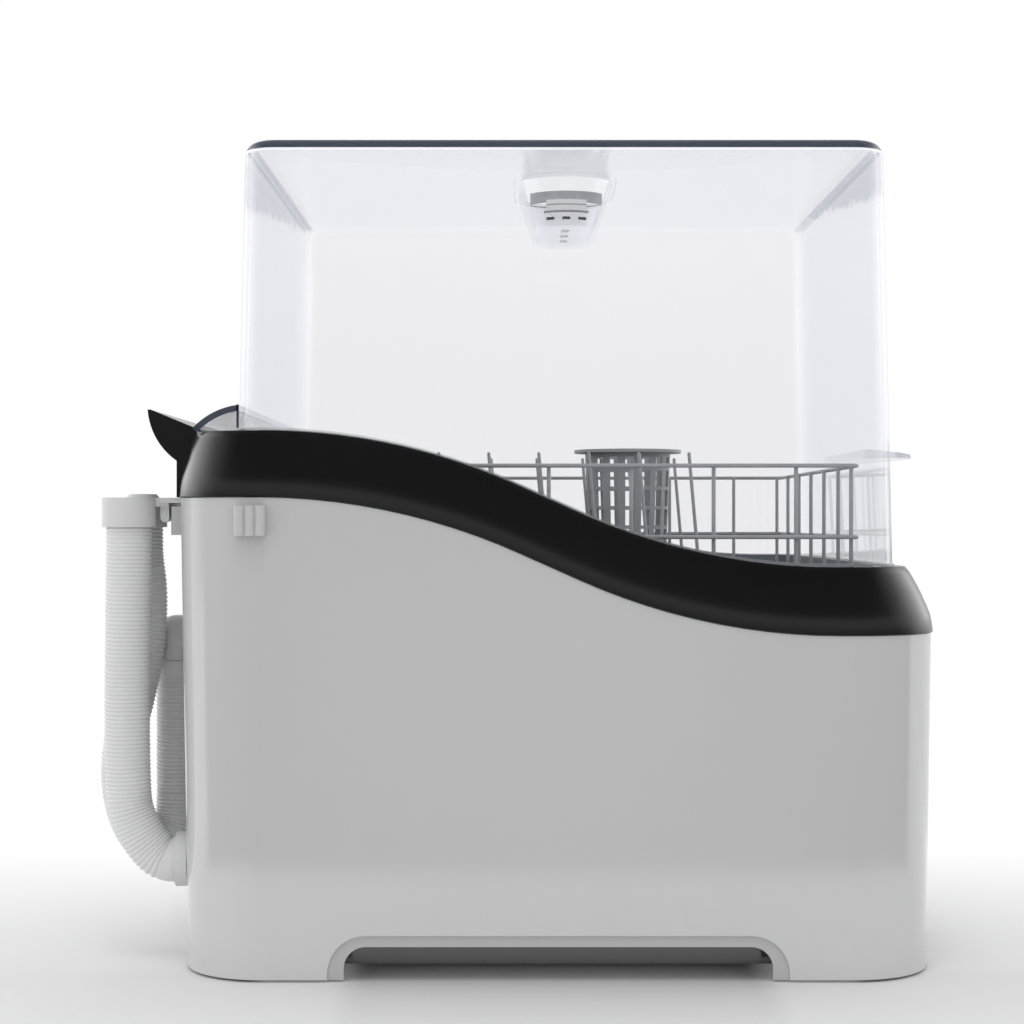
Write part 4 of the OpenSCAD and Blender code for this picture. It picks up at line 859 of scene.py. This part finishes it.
def grip_strip(name, spans, low, high, slot, finish=None, proud=0.35, thick=0.9):
    """Thin curved strips on the near end wall of the grip's bowl, each from one place across it to another."""
    points, faces = [], []
    steps = 12
    for left, right in spans:
        start = len(points)
        for i in range(steps + 1):
            across = left + (right - left) * i / steps
            for h in (low, high):
                r = 19.5 + (h - 437.5) * 9.7 / 28
                for out in (proud, proud - thick):
                    y = -34.5 - math.sqrt((r + out) ** 2 - across ** 2)
                    points.append(Vector((LID_AHEAD + 4 + SHIFT + across, y, h)))
        for i in range(steps):
            a, b = start + 4 * i, start + 4 * i + 4
            for j, k in ((0, 1), (1, 3), (3, 2), (2, 0)):
                faces.append((a + j, a + k, b + k, b + j))
        for a in (start, start + 4 * steps):
            faces.append((a, a + 1, a + 3, a + 2))
    return piece(name, points, faces, "lid_body", slot, (), 50.0, finish=finish)


grip_strip("grip_band", [(-22.4, 22.4)], 451.6, 458.0, "clear_plastic", SMOKE)
grip_strip("grip_bar", [(-12.4, 12.4)], 447.0, 453.0, "grey_plastic", PALE_BAR, 0.9)
grip_strip("grip_bar_line", [(-12.4, 12.4)], 449.8, 450.3, "grey_plastic", MID_GREY, 1.1)
grip_strip("grip_bar_foot", [(-13.8, 13.8)], 445.5, 446.6, "grey_plastic", MID_GREY, 0.4)
# painted shade: dark strips put where the grip's three holes show only shade
grip_strip("grip_hole_shadows", [(-12.4, -7.4), (-2.5, 2.5), (7.4, 12.4)], 441.2, 442.8, "dark_plastic", None, 0.4)


# ---------------------------------------------------------------- basket

def basket_wires():
    """Welded wire basket: rails with bent corners, upright wires, floor wires and rows of leaning plate tines."""
    points, faces = [], []
    ahead, half = 5.0 + SHIFT, 165.5
    wire = 1.2
    weld = 2 * wire - 0.05
    foot_z, mid_z, top_z = 188.0, 244.5, 285.0
    upright = half - weld
    floor_z = foot_z + weld
    bend = 5.0
    for z in (foot_z, mid_z, top_z):
        loop = []
        for sx, sy, turn in ((1, 1, 0), (-1, 1, 90), (-1, -1, 180), (1, -1, 270)):
            for i in range(7):
                a = math.radians(turn + 15 * i)
                loop.append(Vector((ahead + sx * (half - bend) + bend * math.cos(a),
                                    sy * (half - bend) + bend * math.sin(a), z)))
        tube_rings(loop, [wire] * len(loop), 14, points, faces, True)
    stands = [(130.7 - 46.8 * k, sy * upright) for k in range(7) for sy in (-1, 1)]
    stands += [(sx * upright, y) for sx in (-1, 1) for y in (-110, -55, 0, 55, 110)]
    stands += [(sx * (upright - 1), sy * (upright - 1)) for sx in (-1, 1) for sy in (-1, 1)]
    for x, y in stands:
        straight_wire((ahead + x, y, foot_z - 0.6), (ahead + x, y, top_z + 0.6), wire, points, faces,
                      tip_a=True, tip_b=True)
    for k in range(7):
        x = ahead + 144.7 - 46.8 * k
        straight_wire((x, -half, floor_z), (x, half, floor_z), wire, points, faces, tip_a=True, tip_b=True)
    for y in (-40, 80):
        straight_wire((ahead - half + 1.5, y, foot_z), (ahead + half - 1.5, y, foot_z), wire, points, faces)
        for k in range(8):
            x = ahead + 89.9 - 31.5 * k
            lean = (297 - foot_z - 1.1) * math.tan(math.radians(5))
            straight_wire((x, y, foot_z + 1.1), (x - lean, y, 297), 1.1, points, faces, tip_b=True)
    return points, faces


basket_points, basket_faces = basket_wires()
piece("wire_basket", basket_points, basket_faces, "basket_body", "coated_wire", ("basket",), 60.0)


# ---------------------------------------------------------------- stage and light

def stage_material(bright):
    """Pale floor that fades to white behind the machine. Ahead of it a darker part shows only as a reflection."""
    f = Finish("pale_floor", Roughness=0.7, Specular_IOR_Level=0.2, Emission_Strength=1.0)
    x, y, z = f.axes()
    ray = f.add("ShaderNodeLightPath")
    glossy = f.out(ray, "Is Glossy Ray")
    camera = f.out(ray, "Is Camera Ray")
    seen = camera.most(glossy).most(f.out(ray, "Is Transmission Ray"))
    away = ((abs(x - 0.015) - 0.21).most(0.0) ** 2 + (abs(y) - 0.20).most(0.0) ** 2) ** 0.5
    fade = seen * y.ramp(-0.17, 0.30, False) * away.ramp(-0.02, 0.05)
    fade = fade.most(seen * (1 - glossy) * away.ramp(0.50, 1.10))
    ahead = glossy * (-0.12 - y).ramp(0.0, 0.15)
    dark = ahead * away.ramp(0.285, 0.305)
    # the reflection on the near wall: a bright strip of floor at its foot, a soft brighter middle above
    middle = (1 - (x / (0.17 - y * 0.12)) ** 2).most(0.0)
    glow = (ahead - dark) * 0.40 + dark * middle * 0.33 + glossy * (1 - ahead) * away.ramp(0.0, 0.1) * 0.25
    # the shade in front of the hand-hold, and the light that creeps under the shell's foot
    hold = 1 - abs(x - 0.015).ramp(0.105, 0.125)
    shade = camera * (1 - away.ramp(-0.02, 0.18)) * (-0.16 - y).ramp(0.0, 0.03) * (0.3 + hold * 0.7)
    creep = camera * (1 - hold) * (1 - away.ramp(0.0, 0.003)) * (1 - abs(x - 0.015).ramp(0.160, 0.172)) * 0.12
    pale = f.mix(f.noise(1.2, 2.0), (bright, bright, bright), (bright + 0.01, bright + 0.01, bright + 0.01))
    pale = f.mix(shade * 0.30, pale, (0.3, 0.3, 0.3))
    f.feed("Base Color", f.mix(dark, f.mix(fade, pale, (0.0, 0.0, 0.0)), (0.06, 0.06, 0.06)))
    f.feed("Emission Color", f.mix((fade + glow + creep).least(1.0), (0.0, 0.0, 0.0), (1.0, 1.0, 1.0)))
    return f.material


def make_stage():
    mesh = bpy.data.meshes.new("floor")
    mesh.from_pydata([(-4, -4, 0), (4, -4, 0), (4, 4, 0), (-4, 4, 0)], [], [(0, 1, 2, 3)])
    mesh.materials.append(stage_material(0.86))
    floor = bpy.data.objects.new("floor", mesh)
    bpy.context.scene.collection.objects.link(floor)


make_stage()


def make_world():
    world = bpy.data.worlds.new("studio")
    bpy.context.scene.world = world
    world.use_nodes = True
    tree = world.node_tree
    tree.nodes.clear()
    place = Value(tree, add(tree, "ShaderNodeTexCoord").outputs["Generated"])
    parts = add(tree, "ShaderNodeSeparateXYZ", None, {0: place})
    x, y, z = (Value(tree, parts.outputs[i]) for i in range(3))
    rays = add(tree, "ShaderNodeLightPath")
    seen = Value(tree, rays.outputs["Is Camera Ray"]).most(Value(tree, rays.outputs["Is Transmission Ray"]))
    glossy = Value(tree, rays.outputs["Is Glossy Ray"])
    front = (0 - y).ramp(-0.34, 0.12)
    strip = z.ramp(0.08, 0.20) * (1 - z.ramp(0.36, 0.50))
    mirrored = (1.0 - front * (0.86 - strip * 0.45)) * (1.0 - z.ramp(0.45, 0.75) * 0.7)
    side_box = abs(x).ramp(0.50, 0.74) * z.ramp(-0.04, 0.15) * (1 - z.ramp(0.75, 0.92)) * y.ramp(-0.40, 0.75, False)
    strength = seen + (1 - seen) * (glossy * (mirrored + side_box * 2.3) + (1 - glossy) * 0.86)
    back = add(tree, "ShaderNodeBackground", None, {"Color": (1, 1, 1), "Strength": strength})
    out = add(tree, "ShaderNodeOutputWorld")
    tree.links.new(back.outputs[0], out.inputs[0])


make_world()


def area_light(name, place, target, size, power):
    data = bpy.data.lights.new(name, "AREA")
    data.shape = "RECTANGLE"
    data.size, data.size_y = size
    data.energy = power
    lamp = bpy.data.objects.new(name, data)
    lamp.location = place
    lamp.visible_glossy = False
    lamp.rotation_euler = (Vector(target) - Vector(place)).to_track_quat("-Z", "Y").to_euler()
    bpy.context.scene.collection.objects.link(lamp)


area_light("key_light", (-0.1, -0.8, 1.6), (0, 0, 0.2), (0.5, 0.5), 3.0)
area_light("hose_light", (-0.9, -0.28, 0.15), (-0.22, -0.11, 0.13), (0.3, 0.3), 0.55)

bpy.context.scene.view_settings.view_transform = "Standard"
